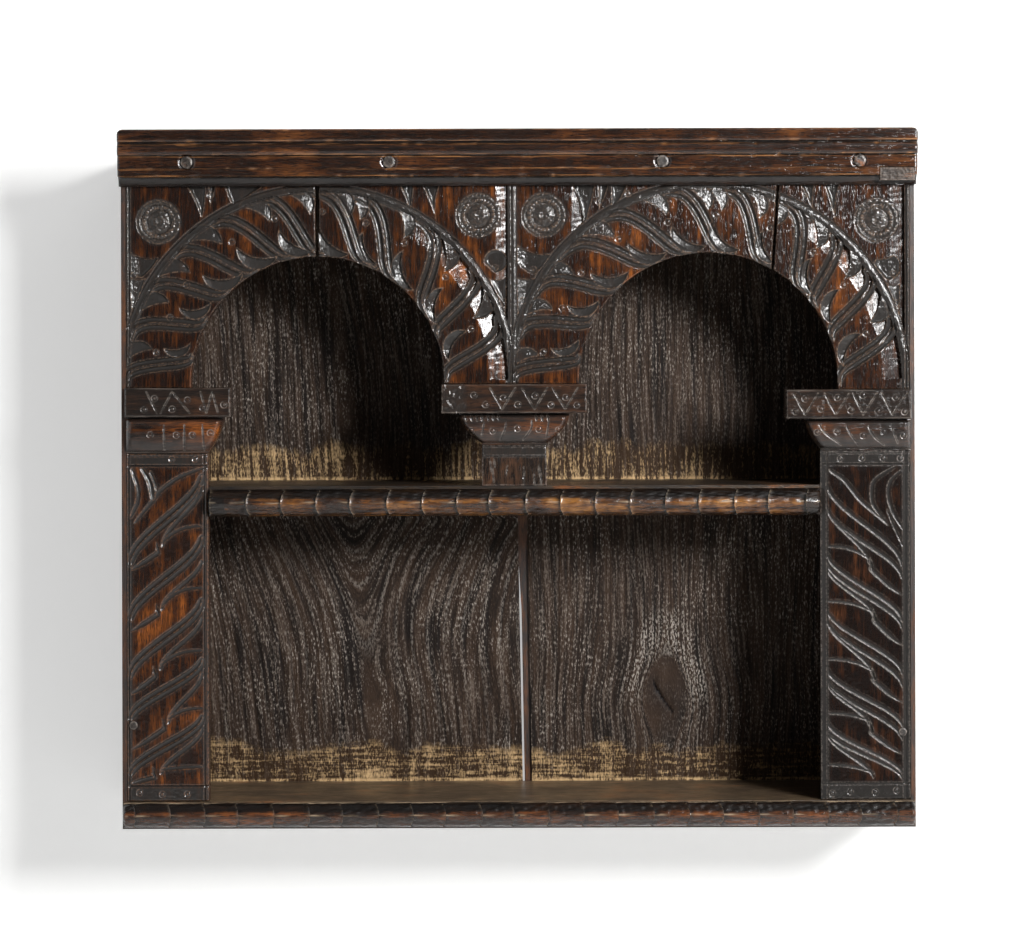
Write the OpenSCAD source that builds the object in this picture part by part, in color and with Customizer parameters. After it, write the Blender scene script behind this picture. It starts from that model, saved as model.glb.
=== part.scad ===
// Hanging oak wall case with two open tiers behind a carved double arch.
// Millimetres. X runs to the right, Y towards the wall, Z up.
// The origin is under the middle of the case, at its foot.

/* [Case] */
// Width across the outer faces of the two side boards
case_w = 677; // [640:1:760]
// Height from the foot to the top of the cornice
case_h = 596; // [570:1:680]
// Depth of the side boards, from their front edge to their rear edge
carcass_d = 116; // [90:1:180]
// Thickness of the side boards
side_t = 18; // [14:0.5:22]
// Thickness of the bottom board
bottom_t = 23; // [16:0.5:28]
// Thickness of the top board
top_t = 24; // [18:0.5:30]
// Drop from the top of the cornice to the top board
top_drop = 16; // [8:0.5:20]
// Depth of the housings cut in the side boards
housing_d = 6; // [3:0.5:8]

/* [Shelf] */
// Height of the upper face of the middle shelf
shelf_z = 292; // [270:1:300]
// Thickness of the middle shelf
shelf_t = 22; // [16:0.5:26]
// Distance that the shelf stays behind the face of the pilasters
shelf_setback = 3; // [1:0.5:8]
// Gap between the shelf and a pilaster
shelf_gap = 0.5; // [0.3:0.1:1.5]

/* [Back] */
// Thickness of the back boards
back_t = 10; // [7:0.5:14]
// Distance that the back boards stop short of the outer faces
back_inset = 1; // [0:0.5:4]
// Width of the gap between the two back boards
back_gap = 8.2; // [6:0.1:14]
// Place of the foot of the gap, right of the middle
back_gap_x = 3.9; // [-20:0.1:20]
// Distance that the gap leans to the left over its height
back_gap_lean = 9.4; // [0:0.1:14]
// Thickness of the filler strip in the gap
strip_t = 7; // [4:0.5:7]
// Width of the open slit beside the foot of the strip
slit_w = 1.7; // [0.5:0.1:3]
// Height at which the slit has closed
slit_top = 215; // [150:1:260]
// Height over which the slit tapers shut
slit_taper = 40; // [20:1:80]

/* [Front boards] */
// Thickness of the arcade boards and the pilasters
front_t = 16; // [12:0.5:22]
// Width of the side boards' lips, which show beside the carved boards
lip_w = 4; // [3:0.5:8]
// Drop from the top of the cornice to the top of the arcade boards
arcade_drop = 6; // [2:0.5:14]
// Height of the centres of the two arches
arch_z = 380; // [376:1:400]
// Radius of the left arch
left_arch_r = 108; // [90:0.5:115]
// Radius of the right arch
right_arch_r = 110.5; // [90:0.5:115]
// Width of the pier left of the left arch
left_pier_w = 55.5; // [40:0.5:60]
// Width of the pier right of the right arch
right_pier_w = 61.5; // [40:0.5:65]
// Height of the foot of the left arcade board
left_foot_z = 376.5; // [370:0.5:379]
// Height of the foot of the middle arcade board
centre_foot_z = 379; // [372:0.5:379.5]
// Height of the foot of the right arcade board
right_foot_z = 373.5; // [370:0.5:379]
// Width of the split in the arcade over the left arch
left_split_w = 3; // [1:0.1:4]
// Width of the split in the arcade over the right arch
right_split_w = 2; // [1:0.1:4]
// Place of the right split at the crown, right of the arch centre
right_split_x = 55; // [30:0.5:70]
// Distance that the right split leans outwards at its top
right_split_lean = 8; // [0:0.5:14]
// Width of the carved band around each arch
archivolt_w = 60.5; // [40:0.5:64]
// Width of an incised line
line_w = 2; // [1:0.1:3]
// Depth of an incised line
line_d = 1.4; // [0.5:0.1:3]
// Width of the plain border down each side of the arcade
border_w = 4; // [3:0.5:8]
// Width of the raised fillet up the middle of the arcade
middle_fillet_w = 7; // [4:0.5:10]
// Outer radius of a roundel
roundel_r = 19; // [14:0.5:20]
// Radius of the raised boss in a roundel
roundel_boss_r = 9; // [6:0.5:11]
// Height of the centres of the outer roundels
roundel_z = 518; // [505:1:525]
// Distance that the inner roundels stand above the outer ones
inner_roundel_lift = 5; // [0:0.5:8]
// Distance of the outer roundels from the edge of the arcade
outer_roundel_inset = 28; // [22:0.5:40]
// Distance of the inner roundels from the middle fillet
inner_roundel_inset = 28; // [24:0.5:40]

/* [Capitals] */
// Height of an impost block
impost_h = 25; // [18:0.5:30]
// Projection of the impost blocks from the arcade face
impost_proj = 12; // [8:0.5:16]
// Length of the left impost block
left_impost_w = 90; // [84:0.5:110]
// Length of the middle impost block
centre_impost_w = 124; // [110:0.5:130]
// Length of the right impost block
right_impost_w = 106.5; // [90:0.5:110]
// Projection of the rounded capitals from the arcade face
capital_proj = 9; // [5:0.5:12]
// Height of the left capital
left_capital_h = 31; // [20:0.5:36]
// Height of the middle capital
centre_capital_h = 27; // [20:0.5:32]
// Height of the right capital
right_capital_h = 27; // [20:0.5:32]
// Distance that a side capital spreads past the pilaster below it
side_capital_spread = 12.5; // [6:0.5:18]
// Distance that the middle capital spreads past each side of the stub
centre_capital_spread = 19.5; // [10:0.5:26]
// Height of the sunk fillet above and below a capital
capital_quirk = 2; // [1:0.1:3]
// Width of the stub pilaster under the middle capital
stub_w = 55; // [45:0.5:60]
// Distance of the middle capital from the centre of the middle pier
stub_shift = 2.2; // [-6:0.1:6]

/* [Pilasters] */
// Width of the left pilaster
left_pilaster_w = 70; // [60:0.5:80]
// Width of the right pilaster
right_pilaster_w = 76.6; // [60:0.1:80]
// Height of the plain band at the head of a pilaster
neck_h = 10; // [6:0.5:16]
// Height of the plain band at the foot of a pilaster
plinth_h = 13; // [8:0.5:20]
// Gap between the foot of a pilaster and the bottom board
pilaster_gap = 0.5; // [0.3:0.1:2]

/* [Cornice] */
// Distance that the cornice runs past the outer faces of the case
cornice_overhang = 1.5; // [0:0.5:6]
// Height of the cornice
cornice_h = 48; // [42:0.5:56]
// Thickness of the cornice at its top
cornice_t = 18; // [16:0.5:30]
// Height of the plain fascia at the top
fascia_h = 10.5; // [6:0.5:14]
// Height of the narrow quirk under the fascia
quirk_h = 2.5; // [1:0.5:4]
// Height of the reed
reed_h = 9; // [6:0.5:12]
// Height of the flat band that takes the pegs
band_h = 10.5; // [10:0.5:13]
// Height of the fillet under the band
fillet_h = 6; // [3:0.5:8]
// Distance that each member stands behind the one above it
member_step = 1.4; // [0.5:0.1:2]
// Depth of the quirks and grooves
quirk_d = 2.4; // [1:0.1:3.5]
// Thickness left at the foot of the cove
cove_t = 5; // [3:0.5:8]
// Radius of the worn top corners
corner_r = 5; // [1:0.5:8]
// Length of the patch let into the right end
patch_w = 32; // [10:0.5:44]
// Height of the patch
patch_h = 11; // [6:0.5:13]
// Thickness of the patch
patch_t = 7; // [3:0.5:9]

/* [Scale mouldings] */
// Distance that the ends of the moulding along the foot stay inside the outer faces
base_moulding_inset = 1; // [0:0.5:4]
// Height of the moulding along the foot
base_moulding_h = 21; // [14:0.5:21]
// Distance that this moulding stays above the foot
base_moulding_lift = 1.5; // [0.5:0.5:3]
// Thickness of its flat back
base_moulding_back = 2.5; // [1:0.5:5]
// Number of scales along the foot
base_scales = 23; // [16:1:28]
// Height of the moulding along the shelf
shelf_moulding_h = 23; // [16:0.5:26]
// Distance of its top below the upper face of the shelf
shelf_moulding_drop = 2.5; // [0:0.5:5]
// Thickness of its flat back
shelf_moulding_back = 3.5; // [2:0.5:5]
// Number of scales along the shelf
shelf_scales = 17; // [12:1:24]
// Loss of radius along one scale
scale_taper = 1.8; // [0.5:0.1:3]

/* [Pegs] */
// Radius of the pegs in the cornice
cornice_peg_r = 5.2; // [3:0.1:5.2]
// Places of the pegs along the cornice
cornice_peg_x = [-281, -109, 123.4, 291];
// Distance that a cornice peg goes into the top board
cornice_peg_bite = 20; // [10:1:40]
// Distance that a peg stands proud
peg_proud = 0.8; // [0.2:0.1:1.5]
// Radius of the pegs in the pilasters
pilaster_peg_r = 3.7; // [2:0.1:4]
// Distance of the left pilaster peg from the pilaster's outer edge
left_peg_inset = 5.5; // [4.5:0.1:8]
// Distance of the right pilaster peg from the pilaster's outer edge
right_peg_inset = 6.9; // [4.5:0.1:8]
// Height of the left pilaster peg
left_peg_z = 88.5; // [60:0.5:120]
// Height of the right pilaster peg
right_peg_z = 81; // [60:0.5:120]
// Distance that a pilaster peg goes into the side board
pilaster_peg_bite = 24; // [12:1:40]
// Play of every peg and nail in its hole
fit_gap = 0.05; // [0.02:0.01:0.15]

/* [Nails] */
// Radius of the shank of a nail
nail_r = 1.6; // [1:0.1:2.2]
// Radius of the head of a nail
nail_head_r = 3.6; // [2.6:0.1:4.5]
// Thickness of the head of a nail
nail_head_t = 1.5; // [0.8:0.1:2.5]
// Distance that the head of a nail is sunk
nail_sink = 0.3; // [0.1:0.1:0.8]
// Distance that a nail goes into the board behind
nail_bite = 26; // [15:1:40]
// Radius of a moulding brad
brad_r = 0.9; // [0.6:0.1:1.3]
// Distance that a brad goes into the board behind
brad_bite = 16; // [8:1:24]

/* [Wall fixing] */
// Distance between the two screw holes in the back
screw_spacing = 500; // [300:1:600]
// Radius of a screw hole
screw_hole_r = 2.75; // [2:0.05:4]
// Distance of the screw holes below the top board
screw_drop = 12; // [8:0.5:40]

/* [Hidden] */
$fn = 48;

dark_oak = [0.17, 0.11, 0.08];
red_oak = [0.30, 0.15, 0.09];
black_oak = [0.10, 0.08, 0.07];
grey_oak = [0.24, 0.21, 0.18];
iron = [0.20, 0.19, 0.18];

eps = 0.01;
over = 1;

// Depths, from the wall towards the viewer
shelf_moulding_t = shelf_moulding_back + shelf_moulding_h / 2;
base_moulding_t = base_moulding_back + base_moulding_h / 2;
front_reach = max(cornice_t, impost_proj, base_moulding_t, shelf_moulding_t - shelf_setback);
overall_d = back_t + carcass_d + front_t + front_reach;
y_wall = overall_d / 2;
y_rear = y_wall - back_t;
y_edge = y_rear - carcass_d;
y_face = y_edge - front_t;
y_shelf_front = y_face + shelf_setback;

// Widths
half_w = case_w / 2;
inner_x = half_w - side_t;
housed_x = inner_x + housing_d;
arcade_x = half_w - lip_w;
left_arch_x = -arcade_x + left_pier_w + left_arch_r;
right_arch_x = arcade_x - right_pier_w - right_arch_r;
pier_x0 = left_arch_x + left_arch_r;
pier_x1 = right_arch_x - right_arch_r;
pier_x = (pier_x0 + pier_x1) / 2;
stub_x = pier_x + stub_shift;
lp_x0 = -arcade_x;
lp_x1 = lp_x0 + left_pilaster_w;
rp_x1 = arcade_x;
rp_x0 = rp_x1 - right_pilaster_w;
shelf_x0 = lp_x1 + shelf_gap;
shelf_x1 = rp_x0 - shelf_gap;
back_x = half_w - back_inset;
cornice_w = case_w + 2 * cornice_overhang;
base_moulding_w = case_w - 2 * base_moulding_inset;

// Heights
top_z = case_h - top_drop;
top_under = top_z - top_t;
peg_z = top_z - top_t / 2;
arcade_top = case_h - arcade_drop;
cornice_z = case_h - cornice_h;
shelf_under = shelf_z - shelf_t;
left_impost_z = left_foot_z - impost_h;
centre_impost_z = centre_foot_z - impost_h;
right_impost_z = right_foot_z - impost_h;
left_neck_z = left_impost_z - left_capital_h;
centre_neck_z = centre_impost_z - centre_capital_h;
right_neck_z = right_impost_z - right_capital_h;
pilaster_z = bottom_t + pilaster_gap;
screw_z = top_under - screw_drop;

// Depth of the cornice in front of the arcade at each member
band_d = cornice_t - 2 * member_step;
fillet_d = cornice_t - 3 * member_step;

// A board between two corners
module board(x0, x1, y0, y1, z0, z1) {
    translate([x0, y0, z0])
        cube([x1 - x0, y1 - y0, z1 - z0]);
}

// An outline in X and Z, given a thickness from y0 to y1
module slab(points, y0, y1) {
    translate([0, y1, 0])
        rotate([90, 0, 0])
            linear_extrude(height = y1 - y0)
                polygon(points);
}

// A section in Y and Z, run from x0 to x1
module run(points, x0, x1) {
    translate([x0, 0, 0])
        rotate([90, 0, 90])
            linear_extrude(height = x1 - x0)
                polygon(points);
}

// A round rod along Y
module rod_y(x, z, y0, y1, r) {
    translate([x, y1, z])
        rotate([90, 0, 0])
            cylinder(h = y1 - y0, r = r);
}

// A round rod along X
module rod_x(y, z, x0, x1, r) {
    translate([x0, y, z])
        rotate([0, 90, 0])
            cylinder(h = x1 - x0, r = r);
}

// A ring cut into the face of the arcade, from radius r inwards
module face_ring(x, z, r, w) {
    difference() {
        rod_y(x, z, y_face - over, y_face + line_d, r);
        rod_y(x, z, y_face - 2 * over, y_face + line_d + over, r - w);
    }
}

// A brad in a moulding with a flat back at y_flat and a half round of
// radius r in front, where gap 0 gives the brad and more gives its hole
module brad_y(x, z, y_flat, r, y_point, gap) {
    crown_y = y_flat - r + scale_taper + nail_sink;
    rod_y(x, z, gap > 0 ? y_flat - r - over : crown_y, y_point, brad_r + gap);
}

// A nail in a hole: gap 0 gives the nail and a play above 0 gives its hole
module nail_y(x, z, y_head, y_point, gap) {
    dir = sign(y_point - y_head);
    shank_y = y_head + dir * nail_sink;
    neck_y = shank_y + dir * nail_head_t;
    mouth_y = gap > 0 ? y_head - dir * over : shank_y;
    rod_y(x, z, min(mouth_y, neck_y), max(mouth_y, neck_y), nail_head_r + gap);
    rod_y(x, z, min(neck_y - dir * eps, y_point), max(neck_y - dir * eps, y_point), nail_r + gap);
}

module nail_x(y, z, x_head, x_point, gap) {
    dir = sign(x_point - x_head);
    shank_x = x_head + dir * nail_sink;
    neck_x = shank_x + dir * nail_head_t;
    mouth_x = gap > 0 ? x_head - dir * over : shank_x;
    rod_x(y, z, min(mouth_x, neck_x), max(mouth_x, neck_x), nail_head_r + gap);
    rod_x(y, z, min(neck_x - dir * eps, x_point), max(neck_x - dir * eps, x_point), nail_r + gap);
}

module nail_z(x, y, z_head, z_point, gap) {
    mouth_z = gap > 0 ? z_head - over : z_head + nail_sink;
    neck_z = z_head + nail_sink + nail_head_t;
    translate([x, y, mouth_z])
        cylinder(h = neck_z - mouth_z, r = nail_head_r + gap);
    translate([x, y, neck_z - eps])
        cylinder(h = z_point - neck_z + eps, r = nail_r + gap);
}

// Places of the pegs and nails
function side_ys() = [for (k = [3, 5, 7]) y_edge + carcass_d * k / 8];
function side_x(s) = s * (half_w - side_t / 2);
function back_rail_zs() = [bottom_t / 2, shelf_z - shelf_t / 2, peg_z];
function back_rail_xs() = [for (k = [1, 2]) inner_x * k / 3];
function back_side_zs() = [for (k = [1, 2, 4]) bottom_t + (top_under - bottom_t) * k / 5];
function base_brad_xs() = [for (k = [-2:2]) base_moulding_w * k / 5];
function shelf_brad_xs() = [for (k = [1, 3, 5, 7]) shelf_x0 + (shelf_x1 - shelf_x0) * k / 8];

module cornice_peg_rods(gap) {
    for (x = cornice_peg_x)
        rod_y(x, peg_z, y_face - band_d - peg_proud, y_edge + cornice_peg_bite, cornice_peg_r + gap);
}

module pilaster_peg_rods(gap) {
    rod_y(lp_x0 + left_peg_inset, left_peg_z, y_face - peg_proud,
        y_edge + pilaster_peg_bite, pilaster_peg_r + gap);
    rod_y(rp_x1 - right_peg_inset, right_peg_z, y_face - peg_proud,
        y_edge + pilaster_peg_bite, pilaster_peg_r + gap);
}

module back_nail_set(gap) {
    for (s = [-1, 1]) {
        for (z = back_rail_zs())
            for (x = back_rail_xs())
                nail_y(s * x, z, y_wall, y_rear - nail_bite, gap);
        for (z = back_side_zs())
            nail_y(side_x(s), z, y_wall, y_rear - nail_bite, gap);
    }
}

module shelf_nail_set(gap) {
    for (s = [-1, 1])
        for (y = side_ys())
            nail_x(y, shelf_z - shelf_t / 2, s * half_w, s * (inner_x - nail_bite), gap);
}

module top_nail_set(gap) {
    for (s = [-1, 1])
        for (y = side_ys())
            nail_x(y, peg_z, s * half_w, s * (inner_x - nail_bite), gap);
}

module bottom_nail_set(gap) {
    for (s = [-1, 1])
        for (y = side_ys())
            nail_z(side_x(s), y, 0, bottom_t + nail_bite, gap);
}

module base_brad_set(gap) {
    for (x = base_brad_xs())
        brad_y(x, base_moulding_lift + base_moulding_h / 2, y_face - base_moulding_back,
            base_moulding_h / 2, y_face + brad_bite, gap);
}

module shelf_brad_set(gap) {
    for (x = shelf_brad_xs())
        brad_y(x, shelf_z - shelf_moulding_drop - shelf_moulding_h / 2,
            y_shelf_front - shelf_moulding_back, shelf_moulding_h / 2, y_shelf_front + brad_bite, gap);
}

// Section of the cornice, as depth in front of the arcade and height
function reed_points(z, h, d) = [for (k = [0:6]) [d - member_step * pow(k / 3 - 1, 2), z - h * k / 6]];
function cove_points(z, h, d) = [for (k = [0:5]) [cove_t + (d - cove_t) * (1 - sin(90 * k / 5)), z - h * (1 - cos(90 * k / 5))]];
function cornice_section() =
    let (z1 = case_h - fascia_h)
    let (z2 = z1 - quirk_h)
    let (z3 = z2 - reed_h)
    let (z4 = z3 - quirk_h / 2)
    let (z5 = z4 - band_h)
    let (z6 = z5 - fillet_h)
    concat(
        [[0, case_h], [cornice_t, case_h], [cornice_t, z1]],
        [[cornice_t - quirk_d, z1], [cornice_t - quirk_d, z2]],
        reed_points(z2, reed_h, cornice_t),
        [[band_d - quirk_d / 2, z3], [band_d - quirk_d / 2, z4], [band_d, z4], [band_d, z5]],
        [[fillet_d, z5], [fillet_d, z6]],
        cove_points(z6, z6 - cornice_z, fillet_d - quirk_d),
        [[0, cornice_z]]
    );

// Outline of the cornice from the front, with worn top corners
function corner_points(x, s) = [for (k = [0:4]) [x - s * corner_r * (1 - cos(90 * k / 4)),
    case_h - corner_r + corner_r * sin(90 * k / 4)]];
function reversed(list) = [for (k = [len(list) - 1:-1:0]) list[k]];
function cornice_outline() = concat(
    [[-cornice_w / 2, cornice_z], [cornice_w / 2, cornice_z]],
    corner_points(cornice_w / 2, 1),
    reversed(corner_points(-cornice_w / 2, -1))
);

// The patch fills the fillet and the cove at the right end
patch_z = case_h - fascia_h - 1.5 * quirk_h - reed_h - band_h;
module patch_block(grow) {
    board(cornice_w / 2 - patch_w, cornice_w / 2 - corner_r / 2 + grow,
        y_face - fillet_d - grow, y_face - fillet_d + patch_t, patch_z - patch_h, patch_z);
}

module cornice_patch() {
    color(grey_oak)
        patch_block(0);
}

module cornice_moulding() {
    color(dark_oak)
        difference() {
            intersection() {
                run([for (p = cornice_section()) [y_face - p[0], p[1]]], -cornice_w / 2, cornice_w / 2);
                slab(cornice_outline(), y_face - cornice_t - over, y_face + over);
            }
            cornice_peg_rods(fit_gap);
            patch_block(cornice_t);
        }
}

module top_board() {
    color(black_oak)
        difference() {
            board(-housed_x, housed_x, y_edge, y_rear, top_under, top_z);
            cornice_peg_rods(fit_gap);
            top_nail_set(fit_gap);
            back_nail_set(fit_gap);
        }
}

// A side board, on side s of the middle. The lip on its outer edge runs
// forward beside the carved boards.
module side_board(s) {
    difference() {
        union() {
            board(min(s * inner_x, s * half_w), max(s * inner_x, s * half_w),
                y_edge, y_rear, bottom_t, top_z);
            board(min(s * arcade_x, s * half_w), max(s * arcade_x, s * half_w),
                y_face, y_edge + over, bottom_t, top_z);
        }
        board(-housed_x, housed_x, y_edge - over, y_rear + over, shelf_under, shelf_z);
        board(-housed_x, housed_x, y_edge - over, y_rear + over, top_under, top_z + over);
        shelf_nail_set(fit_gap);
        top_nail_set(fit_gap);
        bottom_nail_set(fit_gap);
        back_nail_set(fit_gap);
        pilaster_peg_rods(fit_gap);
    }
}

module left_side_board() {
    color(dark_oak)
        side_board(-1);
}

module right_side_board() {
    color(dark_oak)
        side_board(1);
}

module bottom_board() {
    color(black_oak)
        difference() {
            board(-half_w, half_w, y_face, y_rear, 0, bottom_t);
            bottom_nail_set(fit_gap);
            back_nail_set(fit_gap);
            base_brad_set(fit_gap);
        }
}

module middle_shelf() {
    color(black_oak)
        difference() {
            union() {
                board(-housed_x, housed_x, y_edge, y_rear, shelf_under, shelf_z);
                board(shelf_x0, shelf_x1, y_shelf_front, y_edge + over, shelf_under, shelf_z);
            }
            shelf_nail_set(fit_gap);
            back_nail_set(fit_gap);
            shelf_brad_set(fit_gap);
        }
}

// Left edge of the gap in the back, at height z
function gap_x(z) = back_gap_x - back_gap_lean * z / top_z;

module screw_holes() {
    for (s = [-1, 1])
        rod_y(s * screw_spacing / 2, screw_z, y_rear - over, y_wall + over, screw_hole_r);
}

module back_board_left() {
    color(grey_oak)
        difference() {
            slab([[-back_x, 0], [gap_x(0), 0], [gap_x(top_z), top_z], [-back_x, top_z]], y_rear, y_wall);
            back_nail_set(fit_gap);
            screw_holes();
        }
}

module back_board_right() {
    color(grey_oak)
        difference() {
            slab([[back_x, 0], [back_x, top_z], [gap_x(top_z) + back_gap, top_z], [gap_x(0) + back_gap, 0]],
                y_rear, y_wall);
            back_nail_set(fit_gap);
            screw_holes();
        }
}

module back_filler_strip() {
    open_z = slit_top - slit_taper;
    color(grey_oak)
        slab([
            [gap_x(0) + slit_w, 0],
            [gap_x(0) + back_gap, 0],
            [gap_x(top_z) + back_gap, top_z],
            [gap_x(top_z), top_z],
            [gap_x(slit_top), slit_top],
            [gap_x(open_z) + slit_w, open_z]
        ], y_wall - strip_t, y_wall);
}

// Cuts shared by the three arcade boards: arches, incised lines and roundels
module arcade_cuts() {
    border_x = arcade_x - border_w;
    fillet_x = (middle_fillet_w + line_w) / 2;
    inner_z = roundel_z + inner_roundel_lift;
    for (arch = [[left_arch_x, left_arch_r], [right_arch_x, right_arch_r]]) {
        rod_y(arch[0], arch_z, y_face - over, y_edge + over, arch[1]);
        face_ring(arch[0], arch_z, arch[1] + archivolt_w, line_w);
    }
    for (s = [-1, 1]) {
        board(s * border_x - line_w / 2, s * border_x + line_w / 2,
            y_face - over, y_face + line_d, 0, case_h);
        board(pier_x + s * fillet_x - line_w / 2, pier_x + s * fillet_x + line_w / 2,
            y_face - over, y_face + line_d, 0, case_h);
    }
    for (place = [[-arcade_x + outer_roundel_inset, roundel_z], [arcade_x - outer_roundel_inset, roundel_z],
            [pier_x - inner_roundel_inset, inner_z], [pier_x + inner_roundel_inset, inner_z]]) {
        face_ring(place[0], place[1], roundel_r, line_w);
        face_ring(place[0], place[1], roundel_boss_r + line_w, line_w);
    }
    cornice_peg_rods(fit_gap);
}

// One arcade board between a left edge and a right edge, each given at
// the foot and at the top
module arcade_board(foot_x0, foot_x1, top_x0, top_x1, foot_z) {
    difference() {
        slab([[foot_x0, foot_z], [foot_x1, foot_z], [top_x1, arcade_top], [top_x0, arcade_top]],
            y_face, y_edge);
        arcade_cuts();
    }
}

// The right split is straight, so its edges are carried down to the foot
split_crown_z = arch_z + sqrt(pow(right_arch_r, 2) - pow(right_split_x, 2));
split_slope = right_split_lean / (arcade_top - split_crown_z);
function split_x(z) = right_arch_x + right_split_x + split_slope * (z - split_crown_z);

module arcade_board_left() {
    edge_x = left_arch_x - left_split_w / 2;
    color(dark_oak)
        arcade_board(-arcade_x, edge_x, -arcade_x, edge_x, left_foot_z);
}

module arcade_board_centre() {
    edge_x = left_arch_x + left_split_w / 2;
    half_split = right_split_w / 2;
    color(dark_oak)
        arcade_board(edge_x, split_x(centre_foot_z) - half_split,
            edge_x, split_x(arcade_top) - half_split, centre_foot_z);
}

module arcade_board_right() {
    half_split = right_split_w / 2;
    color(dark_oak)
        arcade_board(split_x(right_foot_z) + half_split, arcade_x,
            split_x(arcade_top) + half_split, arcade_x, right_foot_z);
}

// An impost block with its lower front edge eased
module impost_block(x0, x1, z0) {
    ease = line_w;
    run([
        [y_edge, z0], [y_edge, z0 + impost_h],
        [y_face - impost_proj, z0 + impost_h],
        [y_face - impost_proj, z0 + ease],
        [y_face - impost_proj + ease, z0]
    ], x0, x1);
}

module left_impost_block() {
    color(dark_oak)
        impost_block(lp_x0, lp_x0 + left_impost_w, left_impost_z);
}

module centre_impost_block() {
    color(dark_oak)
        impost_block(stub_x - centre_impost_w / 2, stub_x + centre_impost_w / 2, centre_impost_z);
}

module right_impost_block() {
    color(dark_oak)
        impost_block(rp_x1 - right_impost_w, rp_x1, right_impost_z);
}

// A rounded capital. Its section swells quickly from a sunk fillet and
// falls away to the pilaster, and its sides draw in the same way.
function swell(u) = sin(90 * min(1, 4 * u)) * sqrt(1 - pow(max(0, u - 0.25) / 0.76, 2));
function spread(u) = 1 - pow(u, 1.8);
module capital(foot_x0, foot_x1, out_left, out_right, z0, h) {
    steps = 12;
    body_h = h - 2 * capital_quirk;
    z_top = z0 + h - capital_quirk;
    section = concat(
        [[y_edge, z0], [y_edge, z0 + h], [y_face, z0 + h], [y_face, z_top]],
        [for (k = [0:steps]) [y_face - capital_proj * swell(k / steps), z_top - body_h * k / steps]],
        [[y_face, z0]]
    );
    outline = concat(
        [[foot_x0 - out_left, z0 + h]],
        [for (k = [0:steps]) [foot_x0 - out_left * spread(k / steps), z_top - body_h * k / steps]],
        [[foot_x0, z0], [foot_x1, z0]],
        [for (k = [steps:-1:0]) [foot_x1 + out_right * spread(k / steps), z_top - body_h * k / steps]],
        [[foot_x1 + out_right, z0 + h]]
    );
    intersection() {
        run(section, foot_x0 - out_left, foot_x1 + out_right);
        slab(outline, y_face - capital_proj - over, y_edge + over);
    }
}

module left_capital() {
    color(red_oak)
        capital(lp_x0, lp_x1, 0, side_capital_spread, left_neck_z, left_capital_h);
}

module centre_capital() {
    color(red_oak)
        capital(stub_x - stub_w / 2, stub_x + stub_w / 2,
            centre_capital_spread, centre_capital_spread, centre_neck_z, centre_capital_h);
}

module right_capital() {
    color(red_oak)
        capital(rp_x0, rp_x1, side_capital_spread, 0, right_neck_z, right_capital_h);
}

module centre_stub_pilaster() {
    color(dark_oak)
        difference() {
            board(stub_x - stub_w / 2, stub_x + stub_w / 2, y_face, y_edge, shelf_z, centre_neck_z);
            board(stub_x - stub_w / 2 - over, stub_x + stub_w / 2 + over,
                y_face - over, y_face + line_d, shelf_z - over, centre_neck_z - neck_h);
        }
}

// A pilaster with a plain border at each side and a band at head and foot
module pilaster(x0, x1, z1) {
    difference() {
        board(x0, x1, y_face, y_edge, pilaster_z, z1);
        for (x = [x0 + border_w, x1 - border_w])
            board(x - line_w / 2, x + line_w / 2, y_face - over, y_face + line_d,
                pilaster_z + plinth_h, z1 - neck_h);
        for (z = [pilaster_z + plinth_h, z1 - neck_h])
            board(x0 - over, x1 + over, y_face - over, y_face + line_d, z - line_w / 2, z + line_w / 2);
        pilaster_peg_rods(fit_gap);
    }
}

module left_pilaster() {
    color(red_oak)
        pilaster(lp_x0, lp_x1, left_neck_z);
}

module right_pilaster() {
    color(red_oak)
        pilaster(rp_x0, rp_x1, right_neck_z);
}

// A half round moulding cut into overlapping scales. Each scale is half a
// cone, full at its nose and thin where the next nose covers it.
module scale_moulding(x0, x1, y_back, back, z0, h, count, nose_left) {
    pitch = (x1 - x0) / count;
    y_flat = y_back - back;
    r_nose = h / 2;
    r_tail = r_nose - scale_taper;
    board(x0, x1, y_flat, y_back, z0, z0 + h);
    intersection() {
        board(x0, x1, y_flat - h, y_flat + eps, z0 - over, z0 + h + over);
        for (k = [0:count - 1])
            translate([x0 + k * pitch, y_flat, z0 + r_nose])
                rotate([0, 90, 0])
                    cylinder(h = pitch, r1 = nose_left ? r_nose : r_tail,
                        r2 = nose_left ? r_tail : r_nose);
    }
}

module shelf_edge_moulding() {
    color(red_oak)
        difference() {
            scale_moulding(shelf_x0, shelf_x1, y_shelf_front, shelf_moulding_back,
                shelf_z - shelf_moulding_drop - shelf_moulding_h, shelf_moulding_h, shelf_scales, true);
            shelf_brad_set(fit_gap);
        }
}

module base_moulding() {
    color(red_oak)
        difference() {
            scale_moulding(-base_moulding_w / 2, base_moulding_w / 2, y_face, base_moulding_back,
                base_moulding_lift, base_moulding_h, base_scales, false);
            base_brad_set(fit_gap);
        }
}

module cornice_pegs() {
    color(dark_oak)
        cornice_peg_rods(0);
}

module pilaster_pegs() {
    color(red_oak)
        pilaster_peg_rods(0);
}

module back_board_nails() {
    color(iron)
        back_nail_set(0);
}

module shelf_nails() {
    color(iron)
        shelf_nail_set(0);
}

module top_board_nails() {
    color(iron)
        top_nail_set(0);
}

module bottom_board_nails() {
    color(iron)
        bottom_nail_set(0);
}

module base_moulding_brads() {
    color(iron)
        base_brad_set(0);
}

module shelf_moulding_brads() {
    color(iron)
        shelf_brad_set(0);
}

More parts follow.
